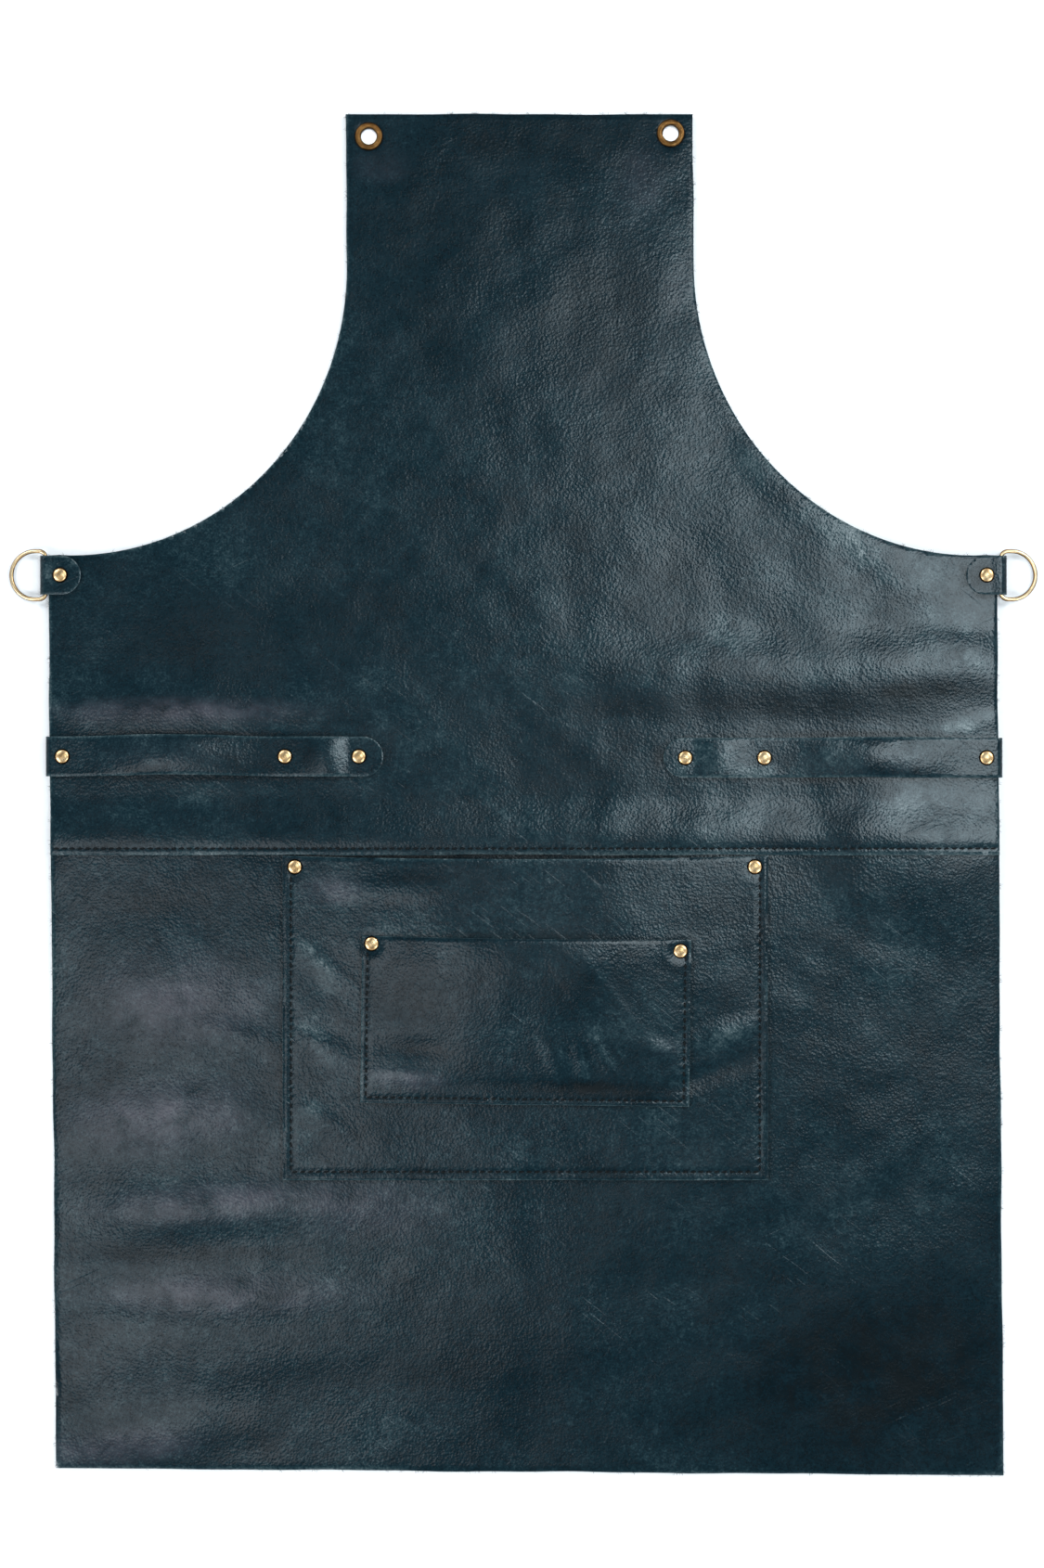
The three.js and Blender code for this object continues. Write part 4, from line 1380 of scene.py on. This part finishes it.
def loose_fibres(name, outline, surface, tufts):
    """Tufts of fibres that the knife left standing out from a cut edge."""

    def seed(bm):
        bmesh.ops.create_cone(bm, segments=4, radius1=0.5, radius2=0.15, depth=1.0)
        bmesh.ops.rotate(bm, verts=bm.verts, cent=(0, 0, 0), matrix=ALONG_X)
        whole = [*bm.verts, *bm.edges, *bm.faces]
        bmesh.ops.bisect_plane(bm, geom=whole, plane_co=(0, 0, 0), plane_no=(1, 0, 0))

    seed_points, faces = small_shape_of(seed)
    share = seed_points[:, 0] + 0.5
    corners = np.array([*outline, outline[0]])
    travel = np.concatenate([[0.0], np.cumsum(np.hypot(*np.diff(corners, axis=0).T))])
    copies = []
    for middle in rng.uniform(0.0, travel[-1], tufts):
        for _ in range(rng.integers(*FIBRES_IN_TUFT)):
            place = middle + rng.normal(0.0, FIBRE_SPREAD)
            k = int(np.clip(np.searchsorted(travel, place) - 1, 0, len(outline) - 1))
            run = (corners[k + 1] - corners[k]) / (travel[k + 1] - travel[k])
            root = corners[k] + run * (place - travel[k])
            away = np.array([run[1], -run[0]]) + run * rng.normal(0.0, FIBRE_LEAN)
            away /= np.hypot(*away)
            length, curl = rng.uniform(*FIBRE_LENGTHS), rng.normal(0.0, FIBRE_CURL)
            across = np.array([-away[1], away[0]])
            side = seed_points[:, 1] * FIBRE + curl * length * share**2
            plan = root + (share * length - FIBRE_ROOT)[:, None] * away + side[:, None] * across
            ground = float(surface(root[:1], root[1:])[2][0]) - LEATHER / 2
            lift = rng.uniform(*FIBRE_LIFT) * share
            copies.append(np.column_stack([plan, ground + lift + seed_points[:, 2] * FIBRE]))
    joined_copies(name, copies, faces, fibre)


loose_fibres("upper_edge_fibres", upper_outline(), shape_upper, UPPER_TUFTS)
loose_fibres("lower_edge_fibres", lower_outline(), shape_lower, LOWER_TUFTS)

# Flat cut size of each pocket front
for piece, pocket, area, under in (
    (large_pocket, LARGE_POCKET, large_area, lower_panel),
    (small_pocket, SMALL_POCKET, small_area, large_pocket),
):
    size = (pocket.width * MM, pocket.height * MM)

# Table, light and camera

FLOOR_SIZE = 12.0
FLOOR_GAP = 0.0002
bm = bmesh.new()
bmesh.ops.create_grid(bm, x_segments=4, y_segments=4, size=FLOOR_SIZE)
bmesh.ops.translate(bm, verts=bm.verts, vec=(0.0, 0.0, -FLOOR_GAP))
floor_mesh = bpy.data.meshes.new("table")
bm.to_mesh(floor_mesh)
bm.free()
floor_mesh.materials.append(table_paint)
table = bpy.data.objects.new("table", floor_mesh)
bpy.context.scene.collection.objects.link(table)

# The photograph's frame is 993.7 mm tall, seen from straight above through a 100 mm lens
IMAGE_HEIGHT = 1690
MM_PER_PIXEL = 0.588
LENS, SENSOR = 100.0, 36.0
VIEW_X, VIEW_Y = -0.9 * MM, 6.9 * MM
VIEW_HEIGHT = IMAGE_HEIGHT * MM_PER_PIXEL * MM * LENS / SENSOR
camera_data = bpy.data.cameras.new("camera")
camera_data.lens = LENS
camera_data.sensor_width = SENSOR
camera = bpy.data.objects.new("camera", camera_data)
camera.location = (VIEW_X, VIEW_Y, VIEW_HEIGHT)
bpy.context.scene.collection.objects.link(camera)
bpy.context.scene.camera = camera


def aim(light, place, target):
    """Hangs a light at a place, facing a target, out of the camera's sight."""
    light.location = place
    light.rotation_euler = (Vector(target) - Vector(place)).to_track_quat("-Z", "Y").to_euler()
    light.visible_camera = False
    bpy.context.scene.collection.objects.link(light)


def softbox(name, place, target, size, power, colour):
    """Oblong soft light."""
    data = bpy.data.lights.new(name, "AREA")
    data.shape = "RECTANGLE"
    data.size, data.size_y = size
    data.energy = power
    data.color = linear(colour)[:3]
    aim(bpy.data.objects.new(name, data), place, target)


# Four panels round the table
PANEL_SIZE = (1.4, 0.6)
for name, place, power in (
    ("right_key", (1.77, 1.31, 1.6), 41.0),
    ("left_fill", (-1.84, -1.2, 1.6), 39.0),
    ("left_back", (-1.56, 1.56, 1.6), 29.0),
    ("right_front", (1.6, -1.51, 1.6), 27.0),
):
    softbox(name, place, (0.0, 0.0, 0.0), PANEL_SIZE, power, "#f4faff")

# Two panels overhead, each hung where a flat spot of the apron mirrors it to the camera
SHEEN_HEIGHT = 2.0
for name, x, y, size, power, colour in (
    ("right_sheen", 0.304, 0.142, (0.7, 0.6), 11.8, "#e8f8ff"),
    ("left_sheen", -0.258, -0.27, (0.56, 0.59), 3.5, "#f3f6f9"),
):
    share = 1.0 + SHEEN_HEIGHT / VIEW_HEIGHT
    softbox(name, (x * share, y * share, SHEEN_HEIGHT), (x, y, 0.0), size, power, colour)

# Two narrow beams down through the eyelets, which no low light reaches
BEAM_HEIGHT = 0.5
BEAM_OFFSET = 0.06
for (side, _), (x, y) in zip(SIDES, EYELETS):
    data = bpy.data.lights.new(f"{side}_eyelet_beam", "SPOT")
    data.energy = 16.0
    data.spot_size = math.radians(1.0)
    data.spot_blend = 0.3
    data.shadow_soft_size = 0.004
    beam = bpy.data.objects.new(f"{side}_eyelet_beam", data)
    aim(beam, (x * MM, y * MM + BEAM_OFFSET, BEAM_HEIGHT), (x * MM, y * MM, 0.0))

# A tent of light: one bright ring, dim overhead and at the horizon, so that the dark hide keeps its depth
TENT_RINGS = [(0.0, 0.1), (0.3, 0.15), (0.5, 1.45), (0.7, 0.05), (1.0, 0.02)]
world = bpy.data.worlds.new("light_tent")
world.use_nodes = True
sky = world.node_tree
sky.nodes.clear()
direction = add_node(sky, "TexCoord").outputs["Generated"]
upward = add_node(sky, "SeparateXYZ", Vector=direction).outputs["Z"]
tent = add_node(sky, "ValToRGB", Fac=upward)
set_stops(tent, [(place, (value, value, value, 1.0)) for place, value in TENT_RINGS])
background = add_node(sky, "Background", Color=tent.outputs["Color"], Strength=1.0)
add_node(sky, "OutputWorld", Surface=background.outputs[0])
bpy.context.scene.world = world
bpy.context.scene.view_settings.view_transform = "Standard"
